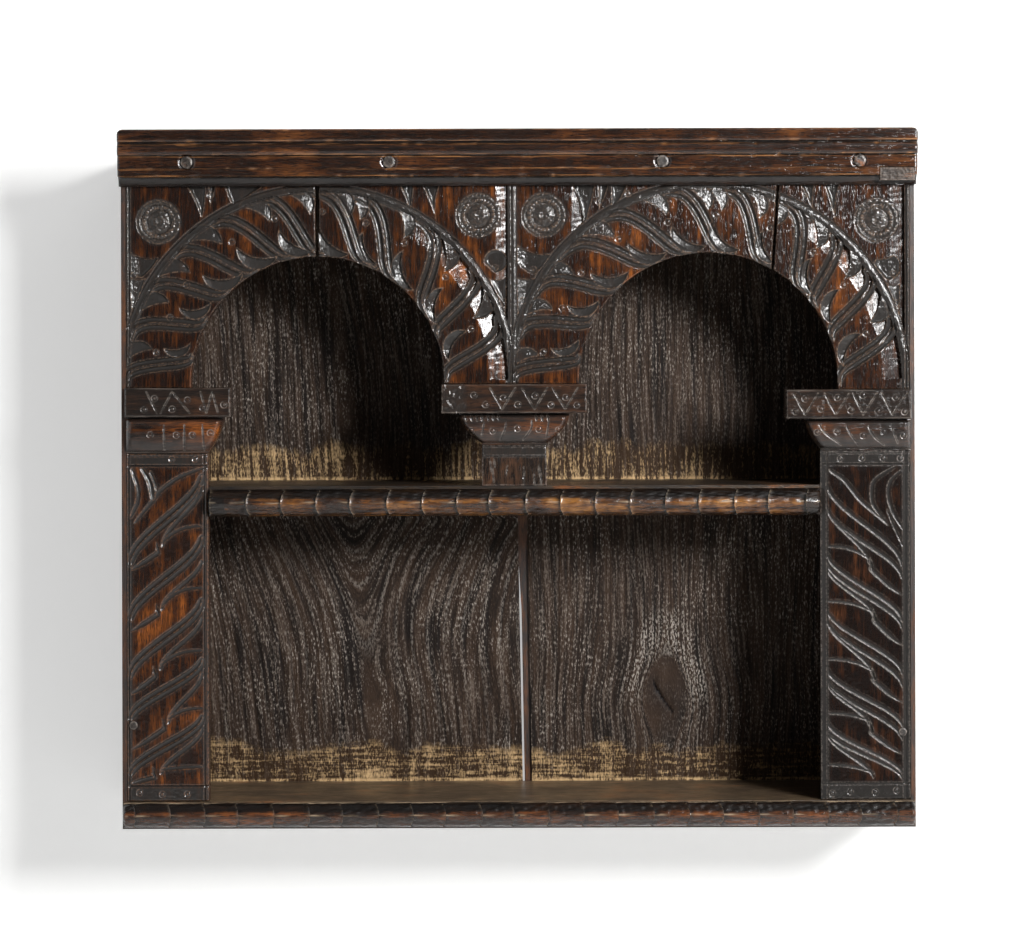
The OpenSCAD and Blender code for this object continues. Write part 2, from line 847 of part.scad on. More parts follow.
cornice_moulding();
cornice_patch();
top_board();
left_side_board();
right_side_board();
bottom_board();
middle_shelf();
back_board_left();
back_board_right();
back_filler_strip();
arcade_board_left();
arcade_board_centre();
arcade_board_right();
left_impost_block();
centre_impost_block();
right_impost_block();
left_capital();
centre_capital();
right_capital();
centre_stub_pilaster();
left_pilaster();
right_pilaster();
shelf_edge_moulding();
base_moulding();
cornice_pegs();
pilaster_pegs();
back_board_nails();
shelf_nails();
top_board_nails();
bottom_board_nails();
base_moulding_brads();
shelf_moulding_brads();
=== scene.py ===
# %% [markdown]
# # An open oak wall case with a carved double arch
# The case is a box of dark waxed oak: two sides, a top, a shelf, a bottom and two back boards.
# Carved boards, blocks and mouldings are pegged and nailed to its front edges. The plain boards
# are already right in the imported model, so they only get a finish. The carved pieces are built
# again here as height fields, because a gouge leaves a surface and not an outline.

import bmesh
import bpy
import numpy as np
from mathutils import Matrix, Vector


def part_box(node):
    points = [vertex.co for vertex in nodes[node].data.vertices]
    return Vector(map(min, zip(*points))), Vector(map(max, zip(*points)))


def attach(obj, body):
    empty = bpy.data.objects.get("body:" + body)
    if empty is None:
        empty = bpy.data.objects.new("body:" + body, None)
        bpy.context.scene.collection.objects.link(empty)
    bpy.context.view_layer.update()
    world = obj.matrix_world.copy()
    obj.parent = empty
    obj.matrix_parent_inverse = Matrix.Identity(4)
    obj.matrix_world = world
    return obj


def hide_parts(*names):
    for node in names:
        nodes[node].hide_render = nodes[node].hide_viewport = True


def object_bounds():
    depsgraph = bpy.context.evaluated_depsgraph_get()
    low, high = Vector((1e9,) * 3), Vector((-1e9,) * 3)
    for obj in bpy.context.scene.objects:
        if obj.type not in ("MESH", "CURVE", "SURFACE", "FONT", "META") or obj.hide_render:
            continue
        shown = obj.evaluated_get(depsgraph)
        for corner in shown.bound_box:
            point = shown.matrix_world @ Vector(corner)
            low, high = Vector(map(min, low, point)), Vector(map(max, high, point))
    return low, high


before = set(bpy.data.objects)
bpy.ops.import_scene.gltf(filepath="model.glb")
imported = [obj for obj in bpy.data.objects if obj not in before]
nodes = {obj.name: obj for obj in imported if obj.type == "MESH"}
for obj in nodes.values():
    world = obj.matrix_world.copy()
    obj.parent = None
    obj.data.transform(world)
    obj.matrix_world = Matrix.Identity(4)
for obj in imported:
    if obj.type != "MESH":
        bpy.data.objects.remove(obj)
cad_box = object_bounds()
scene = bpy.context.scene
scene.view_settings.view_transform = "Standard"
print("packed nodes:", len(nodes))

# %% [markdown]
# ## Sizes
# A carver measures in millimetres, and so do the shapes below. Only the meshes are written in
# metres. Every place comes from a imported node's box, so a carved piece sits where its plain
# solid sits.

# %% Millimetres from the frame
MM = 0.001


def span(name):
    """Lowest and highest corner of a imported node, in millimetres."""
    low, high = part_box(name)
    return np.array(low) / MM, np.array(high) / MM


case_low, case_high = (np.array(corner) / MM for corner in cad_box)
FACE_Y = span("arcade_board_left")[0][1]
EDGE_Y = span("arcade_board_left")[1][1]
CORNICE_FOOT_Z = span("cornice_moulding")[0][2]
print("face of the carved boards at y =", round(FACE_Y, 2), "and their backs at", round(EDGE_Y, 2))

# %% [markdown]
# ## Camera
# The photo is taken almost square on, from the height of the capitals. A long lens, a level
# camera and a vertical shift keep the uprights parallel, as a studio camera does. The picture
# leans by a third of a degree, and the camera leans by about half that.

# %% Camera
IMAGE_W, IMAGE_H = 1024, 947
SENSOR_W = 36.0
CAMERA_X, CAMERA_Y, EYE_Z = -0.005, -2.900, 0.413
MM_PER_PIXEL = 0.851
REFERENCE_Y = -0.070
EYE_LINE_PIXEL = 344
ROLL = 0.003

camera_data = bpy.data.cameras.new("camera")
camera_data.sensor_width = SENSOR_W
focal_pixels = (REFERENCE_Y - CAMERA_Y) / (MM_PER_PIXEL * MM)
camera_data.lens = focal_pixels * SENSOR_W / IMAGE_W
camera_data.shift_y = (EYE_LINE_PIXEL - IMAGE_H / 2) / IMAGE_W
camera = bpy.data.objects.new("camera", camera_data)
camera.location = (CAMERA_X, CAMERA_Y, EYE_Z)
camera.rotation_euler = (np.pi / 2, ROLL, 0)
scene.collection.objects.link(camera)
scene.camera = camera
print("lens", round(camera_data.lens, 1), "mm, shift", round(camera_data.shift_y, 4))

# %% [markdown]
# ## Shader helpers
# A finish is a small graph of nodes. Here every output of a node is a signal, and signals add,
# subtract and multiply as numbers do, so that a graph reads like the formula it works out.

# %% Node helpers


class Signal:
    """Output of a shader node, which takes part in sums and products as a number does."""

    def __init__(self, graph, socket):
        self.graph = graph
        self.socket = socket

    def __add__(self, other):
        return self.graph.math("ADD", self, other)

    def __sub__(self, other):
        return self.graph.math("SUBTRACT", self, other)

    def __mul__(self, other):
        return self.graph.math("MULTIPLY", self, other)

    def __abs__(self):
        return self.graph.math("ABSOLUTE", self)

    def larger(self, other):
        """The larger of two signals."""
        return self.graph.math("MAXIMUM", self, other)

    def ramp(self, low, high, to_low=0.0, to_high=1.0):
        """Straight change of range, held at both ends."""
        return self.graph.node("MapRange", {0: self, 1: low, 2: high, 3: to_low, 4: to_high})


class Graph:
    """Shader graph of a material or a world, with a short call for each kind of node."""

    def __init__(self, owner):
        owner.use_nodes = True
        self.tree = owner.node_tree

    def feed(self, socket, value):
        """Links a signal to an input, or sets the input to a plain value."""
        if isinstance(value, Signal):
            self.tree.links.new(value.socket, socket)
        else:
            socket.default_value = value

    def node(self, kind, values=None, pick=0, **settings):
        """Adds a node with its settings and its inputs, and returns the output picked."""
        made = self.tree.nodes.new("ShaderNode" + kind)
        for key, value in settings.items():
            setattr(made, key, value)
        for key, value in (values or {}).items():
            self.feed(made.inputs[key], value)
        return Signal(self, made.outputs[pick])

    def math(self, how, first, second=0.0):
        """One arithmetic step."""
        return self.node("Math", {0: first, 1: second}, operation=how)

    def mix(self, share, first, second, how="MIX"):
        """Mix of two colours by a share from 0 to 1."""
        first, second = (c if isinstance(c, Signal) else opaque(c) for c in (first, second))
        return self.node("Mix", {0: share, 6: first, 7: second}, 2, data_type="RGBA",
                         blend_type=how)

    def noise(self, place, scale, detail, roughness=0.5):
        """Soft noise about 0.5 over a place."""
        return self.node("TexNoise", {"Vector": place, "Scale": scale, "Detail": detail,
                                      "Roughness": roughness})

    def ray(self, kind):
        """1 for rays of this kind, else 0."""
        return self.node("LightPath", pick="Is " + kind + " Ray")

    def axis(self, place, letter):
        """One coordinate of a place."""
        return self.node("SeparateXYZ", {0: place}, letter)


class Finish(Graph):
    """Material with one surface shader."""

    def __init__(self, name):
        self.material = bpy.data.materials.new(name)
        super().__init__(self.material)
        self.shader = self.tree.nodes["Principled BSDF"]

    def attribute(self, name):
        """The value that a mesh carries under this name."""
        return self.node("Attribute", pick="Fac", attribute_name=name)

    def dress(self, colour, roughness, height, strength, distance):
        """Gives the surface its colour, its roughness and a bump, and returns the material."""
        bump = self.node("Bump", {"Height": height, "Strength": strength, "Distance": distance})
        for name, value in {"Base Color": colour, "Roughness": roughness, "Normal": bump}.items():
            self.feed(self.shader.inputs[name], value)
        return self.material


def opaque(colour):
    """Linear colour with full alpha."""
    return (*colour, 1.0)


# %% [markdown]
# ## Studio
# The case hangs on a white wall, so the backdrop is a wall that just touches its back. Seen
# from behind, the wall is clear, and it lets lamp light through to the back. The key lamp stands
# rather low on the right, and a weak pale world fills the shadows. The polish also mirrors a
# pale room, which is what puts the grey sheen on the carving.

# %% Wall and floor
WALL_Y = case_high[1] * MM + 0.0005
WALL_SIZE = 6.0
FLOOR_Z = -0.60
PAPER = {"Base Color": (0.72, 0.72, 0.71, 1.0), "Roughness": 0.9, "Specular IOR Level": 0.0}
WALL_GLOW, FLOOR_GLOW = 0.50, 0.10


def paper(name, glow, clear_behind):
    """White paper that glows a little to the camera, so that its lit part is plain white."""
    sheet = Finish(name)
    for socket, value in PAPER.items():
        sheet.shader.inputs[socket].default_value = value
    light = sheet.node("Emission", {"Strength": (sheet.ray("Camera") + sheet.ray("Glossy")) * glow})
    lit = Signal(sheet, sheet.shader.outputs[0])
    surface = sheet.node("AddShader", {0: lit, 1: light})
    if clear_behind:
        behind = sheet.node("NewGeometry", pick="Backfacing").larger(sheet.ray("Shadow"))
        clear = sheet.node("BsdfTransparent")
        surface = sheet.node("MixShader", {0: behind, 1: surface, 2: clear})
    sheet.feed(sheet.tree.nodes["Material Output"].inputs["Surface"], surface)
    return sheet.material


def stage_sheet(name, corners, material):
    """Flat four-cornered sheet of the studio."""
    mesh = bpy.data.meshes.new(name)
    mesh.from_pydata(corners, [], [(0, 1, 2, 3)])
    mesh.materials.append(material)
    sheet = bpy.data.objects.new(name, mesh)
    scene.collection.objects.link(sheet)


half = WALL_SIZE / 2
wall_foot = [(-half, WALL_Y, FLOOR_Z), (half, WALL_Y, FLOOR_Z)]
wall_head = [(x, y, z + WALL_SIZE) for x, y, z in wall_foot[::-1]]
floor_front = [(x, y - WALL_SIZE, z) for x, y, z in wall_foot]
stage_sheet("wall", wall_foot + wall_head, paper("wall_paper", WALL_GLOW, True))
stage_sheet("floor", floor_front + wall_foot[::-1], paper("floor_paper", FLOOR_GLOW, False))
print("wall at y =", round(WALL_Y, 4), "m")

# %% Lamps and world
CASE_MIDDLE = Vector((0.0, -0.02, 0.30))
LAMP_DISTANCE = 2.6
LAMPS = {"key_lamp": {"azimuth": 36, "elevation": 16, "size": 0.6, "level": 1.25},
         "high_lamp": {"azimuth": 42, "elevation": 46, "size": 1.6, "level": 0.14},
         "back_lamp": {"azimuth": 200, "elevation": 25, "size": 1.6, "level": 0.5}}
FILL_LEVEL, SKY_LEVEL = 0.03, 0.94
ROOM_DARK, ROOM_BRIGHT = 0.03, 1.0
ROOM_DEPTHS = (-0.95, -0.72)
ROOM_HEIGHTS, STEEP_LEVEL = (0.36, 0.68), 0.10


def soft_lamp(name, azimuth, elevation, size, level):
    """Square lamp aimed at the case. At level 1 a white sheet that faces it renders white."""
    a, e = np.radians(azimuth), np.radians(elevation)
    away = Vector((np.sin(a) * np.cos(e), -np.cos(a) * np.cos(e), np.sin(e)))
    data = bpy.data.lights.new(name, "AREA")
    data.size = size
    data.energy = level * np.pi ** 2 * LAMP_DISTANCE ** 2
    lamp = bpy.data.objects.new(name, data)
    lamp.location = CASE_MIDDLE + away * LAMP_DISTANCE
    lamp.rotation_euler = (-away).to_track_quat("-Z", "Y").to_euler()
    scene.collection.objects.link(lamp)


for lamp_name, lamp_plan in LAMPS.items():
    soft_lamp(lamp_name, **lamp_plan)
world = bpy.data.worlds.new("world")
scene.world = world
sky = Graph(world)
looked = sky.node("TexCoord", pick="Generated")
room = sky.axis(looked, "Y").ramp(*ROOM_DEPTHS, ROOM_DARK, ROOM_BRIGHT)
room = room * abs(sky.axis(looked, "Z")).ramp(*ROOM_HEIGHTS, 1.0, STEEP_LEVEL)
level = sky.ray("Camera").ramp(0.0, 1.0, FILL_LEVEL, SKY_LEVEL) + sky.ray("Glossy") * room
background = sky.tree.nodes["Background"]
background.inputs["Color"].default_value = opaque((1, 1, 1))
sky.feed(background.inputs["Strength"], level)
print("lamps:", ", ".join(LAMPS))

# %% [markdown]
# ## Waxed oak
# Old oak darkens, fills with wax, and wears back to red brown where hands and dusters touch.
# The finish therefore has these colours: black brown wax in the cuts, red brown streaks along
# the grain on the flats, and a pale line on every worn arris. On some pieces the cut colour is
# also painted shade, in the cornice's hollow and quirks and on the tops, steps and undersides of
# the scales. The pale arris colour is also a painted glint, on the grey arrises and the keels of
# the scales, and a warm band on each capital is partly wear and partly a painted highlight. The
# carved meshes say where the cuts and the arrises are, in two attributes, and noise along the
# grain does the rest.

# %% Oak finishes
FIBRE_SCALE = 820.0
PORE_SCALE = 1500.0
TONE_SCALE = 162.0
PATCH_SCALE = 19.8
CHIP_SCALE = 420.0
STRETCH = 0.09
WORN_RANGE, EMBER_RANGE = (0.96, 1.18), (1.14, 1.34)
DEEP = (0.0045, 0.0032, 0.0027)
BODY = (0.029, 0.0108, 0.0058)
WORN = (0.120, 0.037, 0.0098)
EMBER = (0.34, 0.100, 0.019)
DULL_EMBER = (0.13, 0.050, 0.020)
CUT = (0.0255, 0.0232, 0.0214)
BLACK_CUT = (0.006, 0.005, 0.0045)
ARRIS = (0.23, 0.145, 0.095)
# Grey-white colour of worn arrises, which also stands in for painted glints along the edges.
WORN_AND_GLINT_ARRIS = (0.24, 0.20, 0.17)
SHADED = (0.42, 0.36, 0.34)
WAX_GLOSS = 0.6
EDGE_ROUGH, BOARD_ROUGH = (0.14, 0.30), (0.24, 0.42)


def oak(name, axis, seed, body, worn, cut=CUT, arris=WORN_AND_GLINT_ARRIS, deep=DEEP, ember=EMBER,
        redness=0.04, rough=(0.11, 0.21), bump=0.23, shine=WAX_GLOSS, carved=True, pale_from=None):
    """Waxed oak with its grain along one axis: coordinates drawn out along it turn round noise
    into streaks. Colours run from deep to body with the fibre, and to worn and ember in patches;
    carved pieces add the cut and arris colours from their attributes. Wood below the height
    pale_from, in metres, is darkened."""
    wood = Finish(name)
    place = wood.node("TexCoord", pick="Object")
    drawn = wood.node("Mapping", {
        "Vector": place, "Scale": [STRETCH if letter == axis else 1.0 for letter in "XYZ"],
        "Location": (seed, seed * 0.7, seed * 1.3)})
    fibre = wood.noise(drawn, FIBRE_SCALE, 3.0, 0.65)
    tone = wood.noise(drawn, TONE_SCALE, 4.0, 0.6)
    patch = wood.noise(place, PATCH_SCALE, 5.0, 0.62)
    chips = wood.noise(drawn if axis == "X" else place, CHIP_SCALE, 3.0)
    pores = wood.noise(drawn, PORE_SCALE, 1.0).ramp(0.56, 0.66)
    streak = fibre.ramp(0.34, 0.62)
    colour = wood.mix(streak, deep, body)
    for (low, high), tint in ((WORN_RANGE, worn), (EMBER_RANGE, ember)):
        share = (tone + patch).ramp(low - redness, high - redness)
        colour = wood.mix(share * streak.ramp(0.0, 1.0, 0.35, 1.0), colour, tint)
    colour = wood.mix(pores * 0.8, colour, deep)
    if pale_from is not None:
        below = wood.axis(place, "Z").ramp(pale_from - 0.0002, pale_from - 0.0010)
        colour = wood.mix(below, colour, SHADED, "MULTIPLY")
    gloss = fibre + patch
    cut_share = 0.0
    if carved:
        cut_share = wood.attribute("cut")
        colour = wood.mix(cut_share * 0.94, colour, cut)
        worn_line = wood.attribute("arris") * chips.ramp(0.44, 0.60, 0.08, 1.0)
        colour = wood.mix(worn_line, colour, arris)
        gloss = gloss + cut_share * 0.14
    wood.shader.inputs["Specular IOR Level"].default_value = shine
    height = fibre - pores * 0.6 + chips * (cut_share * 1.6 + 0.5)
    return wood.dress(colour, gloss.ramp(0.8, 1.2, rough[1], rough[0]), height, bump, 0.0006)


carved_upright = oak("carved_oak_upright", "Z", 0.0, BODY, WORN, arris=ARRIS, redness=0.0,
                     shine=0.46)
pilaster_oak = oak("pilaster_oak", "Z", 1.5, BODY, WORN, arris=(0.22, 0.10, 0.045), redness=0.06)
carved_dark = oak("carved_oak_dark", "Z", 3.0, (0.014, 0.0075, 0.0055), (0.060, 0.022, 0.010),
                  ember=DULL_EMBER, redness=-0.04, shine=0.30)
stub_oak = oak("stub_oak", "Z", 4.5, (0.034, 0.021, 0.0145), (0.090, 0.045, 0.026),
               ember=DULL_EMBER, redness=0.03)
carved_level = oak("carved_oak_level", "X", 6.0, (0.036, 0.0142, 0.0075), (0.095, 0.033, 0.012),
                   BLACK_CUT, (0.42, 0.19, 0.070), ember=(0.19, 0.070, 0.021), redness=0.01)
block_oak = oak("block_oak", "X", 7.5, (0.024, 0.0135, 0.0098), (0.080, 0.032, 0.014),
                (0.026, 0.0225, 0.020), ember=DULL_EMBER, redness=-0.03, shine=0.30)
capital_oak = oak("capital_oak", "X", 8.5, (0.022, 0.0095, 0.0055), WORN, redness=0.12,
                  shine=0.52)
# The pale arris colours of the two scale mouldings below are mostly a painted glint along each
# scale's keel.
moulding_oak = oak("edge_oak", "X", 9.0, (0.030, 0.0120, 0.0060), (0.150, 0.055, 0.014),
                   BLACK_CUT, (0.56, 0.44, 0.31), ember=(0.35, 0.149, 0.033), redness=0.10,
                   rough=EDGE_ROUGH)
foot_edge_oak = oak("foot_edge_oak", "X", 10.0, (0.028, 0.0120, 0.0068), (0.115, 0.038, 0.0125),
                    BLACK_CUT, (0.40, 0.30, 0.20), ember=(0.26, 0.082, 0.021), redness=0.09,
                    rough=EDGE_ROUGH)
board_upright = oak("board_oak_upright", "Z", 12.0, (0.034, 0.017, 0.011), (0.105, 0.042, 0.019),
                    ember=(0.17, 0.066, 0.024), rough=(0.34, 0.56), carved=False)
board_level = oak("board_oak_level", "X", 15.0, (0.036, 0.025, 0.017), (0.10, 0.064, 0.039),
                  rough=BOARD_ROUGH, carved=False)
foot_oak = oak("foot_board_oak", "X", 16.5, (0.118, 0.078, 0.046), (0.21, 0.148, 0.086),
               deep=(0.042, 0.0275, 0.0175), rough=(0.30, 0.50), carved=False,
               pale_from=span("bottom_board")[1][2] * MM)
peg_oak = oak("peg_oak", "Y", 18.0, (0.018, 0.013, 0.011), (0.05, 0.034, 0.026),
              rough=BOARD_ROUGH)
worn_oak = oak("worn_oak", "X", 21.0, (0.060, 0.045, 0.036), (0.13, 0.095, 0.072),
               (0.02, 0.014, 0.011), (0.3, 0.24, 0.2), deep=(0.020, 0.014, 0.011),
               rough=(0.5, 0.8), bump=0.8)
print("oak finishes made")

# %% [markdown]
# ## Iron
# The nails are hand forged and blackened, with a little rust where the hammer broke the skin.

# %% Iron finish
BLACK_SKIN, RUST = (0.045, 0.042, 0.040), (0.10, 0.052, 0.030)


def iron(name):
    """Blackened iron with a brown bloom in patches."""
    skin = Finish(name)
    bloom = skin.noise(skin.node("TexCoord", pick="Object"), 260.0, 5.0)
    skin.shader.inputs["Metallic"].default_value = 0.8
    colour = skin.mix(bloom.ramp(0.45, 0.65), BLACK_SKIN, RUST)
    return skin.dress(colour, bloom.ramp(0.4, 0.7, 0.42, 0.75), bloom, 0.5, 0.0005)


nail_iron = iron("nail_iron")

# %% [markdown]
# ## Carving as a height field
# A carved board is a flat face from which gouges take depth away. Each cut can be written as a
# depth over the face, and where two cuts cross, the deeper one wins. So the face is a grid of
# points, each cut is a short formula over all of them at once, and the result goes into the
# mesh as the y of the grid. The same pass notes which points lie in a cut and which on an arris.

# %% Carved face
FRESH_CUT = 0.25


class Face:
    """Grid of points (x, z) of a carved face, with the depth cut at each and the shares of wax in
    a cut and of a worn arris. A cut deeper than FRESH_CUT takes away the arris it runs over."""

    def __init__(self, x, z):
        self.shape = x.shape
        self.x, self.z = x.ravel(), z.ravel()
        self.depth, self.cut, self.arris = np.zeros((3, x.size))

    def near(self, xs, zs, margin):
        """Numbers of the points within a margin of the box round some places."""
        return np.flatnonzero((self.x > np.min(xs) - margin) & (self.x < np.max(xs) + margin)
                              & (self.z > np.min(zs) - margin) & (self.z < np.max(zs) + margin))

    def take(self, where, depth, cut, arris):
        """Keeps the deeper of the old and the new depth, and the larger of the shares."""
        deeper = depth > self.depth[where]
        fading = np.where(deeper & (depth > FRESH_CUT), 0.0, self.arris[where])
        self.arris[where] = np.maximum(fading, arris)
        self.depth[where] = np.maximum(self.depth[where], depth)
        self.cut[where] = np.maximum(self.cut[where], cut)

    def dig(self, where, room, depth):
        """Hollow as deep as told where there is room, which is the distance in from its rim."""
        dug = np.where(room > 0, depth, 0)
        self.take(where, dug, np.clip(room * 3, 0, 1), 0.8 * line_of(room))


ARRIS_WIDTH = 0.42


def line_of(distance, width=ARRIS_WIDTH):
    """Bell of height 1 where a distance is 0, which marks a thin line."""
    return np.exp(-(distance / width) ** 2)


def along(x, z, path_x, path_z):
    """Signed distance of points to a path, and how far along it each lies, from 0 to 1. The path's
    nearest sample gives a tangent, and the distance is taken square to it."""
    apart = (x[:, None] - path_x) ** 2 + (z[:, None] - path_z) ** 2
    nearest = apart.argmin(1)
    tangent_x, tangent_z = np.gradient(path_x), np.gradient(path_z)
    length = np.hypot(tangent_x, tangent_z)
    tx, tz = (tangent_x / length)[nearest], (tangent_z / length)[nearest]
    dx, dz = x - path_x[nearest], z - path_z[nearest]
    square = tx * dz - tz * dx
    forward = tx * dx + tz * dz
    at_end = (nearest == 0) & (forward < 0) | (nearest == len(path_x) - 1) & (forward > 0)
    square = np.where(at_end, np.copysign(np.hypot(dx, dz), square), square)
    return square, nearest / (len(path_x) - 1)


# %% [markdown]
# ## Gouge cuts
# A gouge that is pushed along leaves a groove, and one that is rocked in leaves a hollow between
# curved walls. The depth of both is a short formula of one number, the distance to a path or to
# the walls.

# %% Gouge cuts


def narrowing(t, ends):
    """Width along a flute from 0 to 1: sin(pi t)^0.35 for both ends, or a rise at the start only,
    or a long tail."""
    if ends == "start":
        return np.clip(t * 2.2, 0, 1)
    if ends == "tail":
        return np.clip(0.5 + 3 * t, 0, 1) * np.clip((1 - t) / 0.4, 0, 1) ** 0.7
    return np.sin(np.pi * np.clip(t, 0, 1)) ** 0.35


def flute(face, path, width, depth, pair=0.0, thin=0.4, ends="both", lean=0.0):
    """U-shaped groove along a path, or two side by side with a ridge between them when pair is
    their distance from the path. Width and depth are a thin share where it narrows. A lean moves
    the deepest line to the left."""
    path_x, path_z = path
    where = face.near(path_x, path_z, pair + width + 2)
    off, t = along(face.x[where], face.z[where], path_x, path_z)
    swell = thin + (1 - thin) * narrowing(t, ends)
    half_width = width / 2 * swell
    across = (np.abs(off) - pair * swell if pair else off) / half_width
    shifted = across - lean * np.clip(1 - across ** 2, 0, None)
    bowl = np.clip(1 - shifted ** 2, 0, None) ** (0.7 + 0.5 * abs(lean)) * (abs(across) < 1)
    edge = line_of((np.abs(across) - 1) * half_width) * np.where(across * lean < -0.5, 0.3, 1.0)
    face.take(where, depth * swell * bowl, np.clip(bowl * 3, 0, 1), edge * 0.6)


def side_distance(x, z, a, b, sag):
    """Distance to the left of the arc from a to b. The arc bows to the right of the chord by sag,
    and a negative sag bows it to the left."""
    a, b = np.array(a, float), np.array(b, float)
    chord = b - a
    length = np.hypot(*chord)
    left = np.array([-chord[1], chord[0]]) / length
    if abs(sag) < 0.01:
        return (x - a[0]) * left[0] + (z - a[1]) * left[1]
    radius = (length ** 2 / 4 + sag ** 2) / (2 * abs(sag))
    middle = (a + b) / 2 + left * np.sign(sag) * (radius - abs(sag))
    away = np.hypot(x - middle[0], z - middle[1])
    return (radius - away) * np.sign(sag)


def curve_through(points, samples=160):
    """Smooth path through some places: a cubic between each two, with the slope at a place taken
    from its neighbours."""
    p = np.array(points, float)
    p = np.vstack([2 * p[0] - p[1], p, 2 * p[-1] - p[-2]])
    t = np.linspace(0, len(points) - 1.0001, samples)
    i = t.astype(int)
    u = (t - i)[:, None]
    a, b, c, d = p[i], p[i + 1], p[i + 2], p[i + 3]
    path = b + 0.5 * u * (c - a + u * (2 * a - 5 * b + 4 * c - d + u * (3 * (b - c) + d - a)))
    return path[:, 0], path[:, 1]


def moon(face, a, b, bulge, hollow, depth, inward):
    """Crescent cut between two arcs that bow to the right of a to b, by the shares bulge and hollow
    of its length. The floor slopes down to the inner arc if inward, else to the outer one."""
    length = np.hypot(b[0] - a[0], b[1] - a[1])
    where = face.near((a[0], b[0]), (a[1], b[1]), bulge * length + 2)
    x, z = face.x[where], face.z[where]
    outer_room = side_distance(x, z, a, b, bulge * length)
    inner_room = -side_distance(x, z, a, b, hollow * length)
    room = np.minimum(outer_room, inner_room)
    share = np.clip(outer_room / (outer_room + inner_room + 1e-6), 0, 1)
    floor = 0.2 + 0.8 * np.clip((share if inward else 1 - share) / 0.8, 0, 1)
    face.dig(where, room, depth * floor * np.clip(room / 1.1, 0, 1))


STEEP = 0.25


def scoop(face, corners, sags, depth, run, rise=0.0):
    """Hollow with a side for each pair of corners, taken anticlockwise. Its floor drops with the
    distance to the nearest side as sin(pi d / 2 run)^0.8, four times as fast from the first side.
    The floor rises to the left over a width of rise."""
    xs, zs = zip(*corners)
    where = face.near(xs, zs, max(abs(s) for s in sags) + 2)
    x, z = face.x[where], face.z[where]
    sides = [side_distance(x, z, corners[i], corners[(i + 1) % len(corners)], sags[i])
             for i in range(len(corners))]
    room = np.min(sides, axis=0)
    slack = np.min([sides[0] / STEEP] + sides[1:], axis=0)
    dug = depth * np.sin(np.clip(slack / run, 0, 1) * np.pi / 2) ** 0.8
    if rise:
        dug *= np.clip(0.15 + (x - min(xs)) / rise, 0, 1)
    face.dig(where, room, dug)


def straight_line(face, coordinate, place, width, depth, only=True):
    """Straight V line where a coordinate has a certain value."""
    off = abs(coordinate - place)
    where = np.flatnonzero((off < width) & only)
    groove = np.clip(1 - off[where] / (width / 2), 0, 1)
    face.take(where, depth * groove, np.clip(groove * 2, 0, 1),
              0.3 * line_of(off[where] - width / 2))


# %% [markdown]
# ## Punch marks and roundels
# The small rings are struck with a hollow punch, and a roundel is a boss with a nicked bead round
# it. What is round is easiest as a function of the radius from its middle.

# %% Punch marks and roundels
RING_R = 2.05


def punched_ring(face, x, z):
    """Mark of a small hollow punch: a round groove with a bead left inside it."""
    where = face.near(x, z, RING_R + 2)
    away = np.hypot(face.x[where] - x, face.z[where] - z)
    groove = line_of(away - RING_R, 0.55)
    bead = line_of(away, 0.8)
    face.take(where, 0.7 * groove + 0.2 * line_of(away, RING_R), 0.7 * groove,
              0.7 * line_of(away - RING_R - 0.7, 0.35) + 0.6 * bead)


ROUNDEL_R, BEAD_R, BOSS_R = 18.8, 12.9, 8.9
RIM_R, RIM_W = 17.0, 1.9
BEAD_HALF_W, RING_IN_BOSS_R, NICKS = 2.3, 4.3, 30


def roundel(face, x, z, seed):
    """Turned boss: a smooth rim, a bead cut across by nicks, and a dished middle with a small ring
    and a pit in it. All are functions of the radius but the nicks, which follow cos(30 angle)."""
    where = face.near(x, z, ROUNDEL_R + 3)
    dx, dz = face.x[where] - x, face.z[where] - z
    r, angle = np.hypot(dx, dz), np.arctan2(dz, dx)
    sunk = 0.45 * line_of(r - ROUNDEL_R, 0.6)
    rim = 0.15 + 0.8 * (abs(r - RIM_R) / RIM_W) ** 2 * (r < ROUNDEL_R)
    wobble = 1.4 * np.sin(3 * angle + seed) + 0.8 * np.sin(7 * angle)
    nick = np.clip(np.cos(NICKS * angle + wobble), 0, 1) * (0.7 + 0.3 * np.sin(5 * angle + seed))
    bead = np.sqrt(np.clip(1 - ((r - BEAD_R) / BEAD_HALF_W) ** 2, 0, None))
    dish = 0.4 + 1.3 * (r / BOSS_R) ** 2
    pit, ring = 1.5 * line_of(r, 1.2), 0.6 * line_of(r - RING_IN_BOSS_R, 0.8)
    middle = np.where(r < BOSS_R, dish + pit - ring, 2.3)
    inside = np.where(bead > 0, 2.2 - (1.9 - 0.9 * nick) * bead, middle)
    depth = np.where(r > BEAD_R + 2.2, np.maximum(rim, sunk), inside)
    edges = np.maximum(line_of(r - ROUNDEL_R + 0.5), bead * (1 - nick) * (r < BEAD_R + 1))
    rough = 0.25 * np.clip(ripple(face.x[where], face.z[where], 3.2, 80 + seed), -0.4, 1.5)
    boss = r < ROUNDEL_R + 0.3
    face.depth[where] = np.where(boss, depth + rough, face.depth[where])
    face.cut[where] = np.where(boss, 1.0, face.cut[where])
    face.arris[where] = np.where(boss, 0.12 + edges * 0.35, face.arris[where])


# %% [markdown]
# ## Hand work and age
# No cut made by hand is even, so waves with random directions ripple every face. Wax creeps out
# over the edges of a cut, and the mean of the cuts over a small square tells how far.

# %% Hand work and age


def ripple(x, z, size, seed):
    """Soft unevenness of height about 1: the mean of a dozen waves with directions at random."""
    rng = np.random.default_rng(seed)
    total = np.zeros_like(x)
    for _ in range(12):
        turn, phase = rng.uniform(0, 2 * np.pi, 2)
        length = size * rng.uniform(0.6, 1.8)
        total += np.sin(2 * np.pi * (x * np.cos(turn) + z * np.sin(turn)) / length + phase)
    return total / np.sqrt(12)


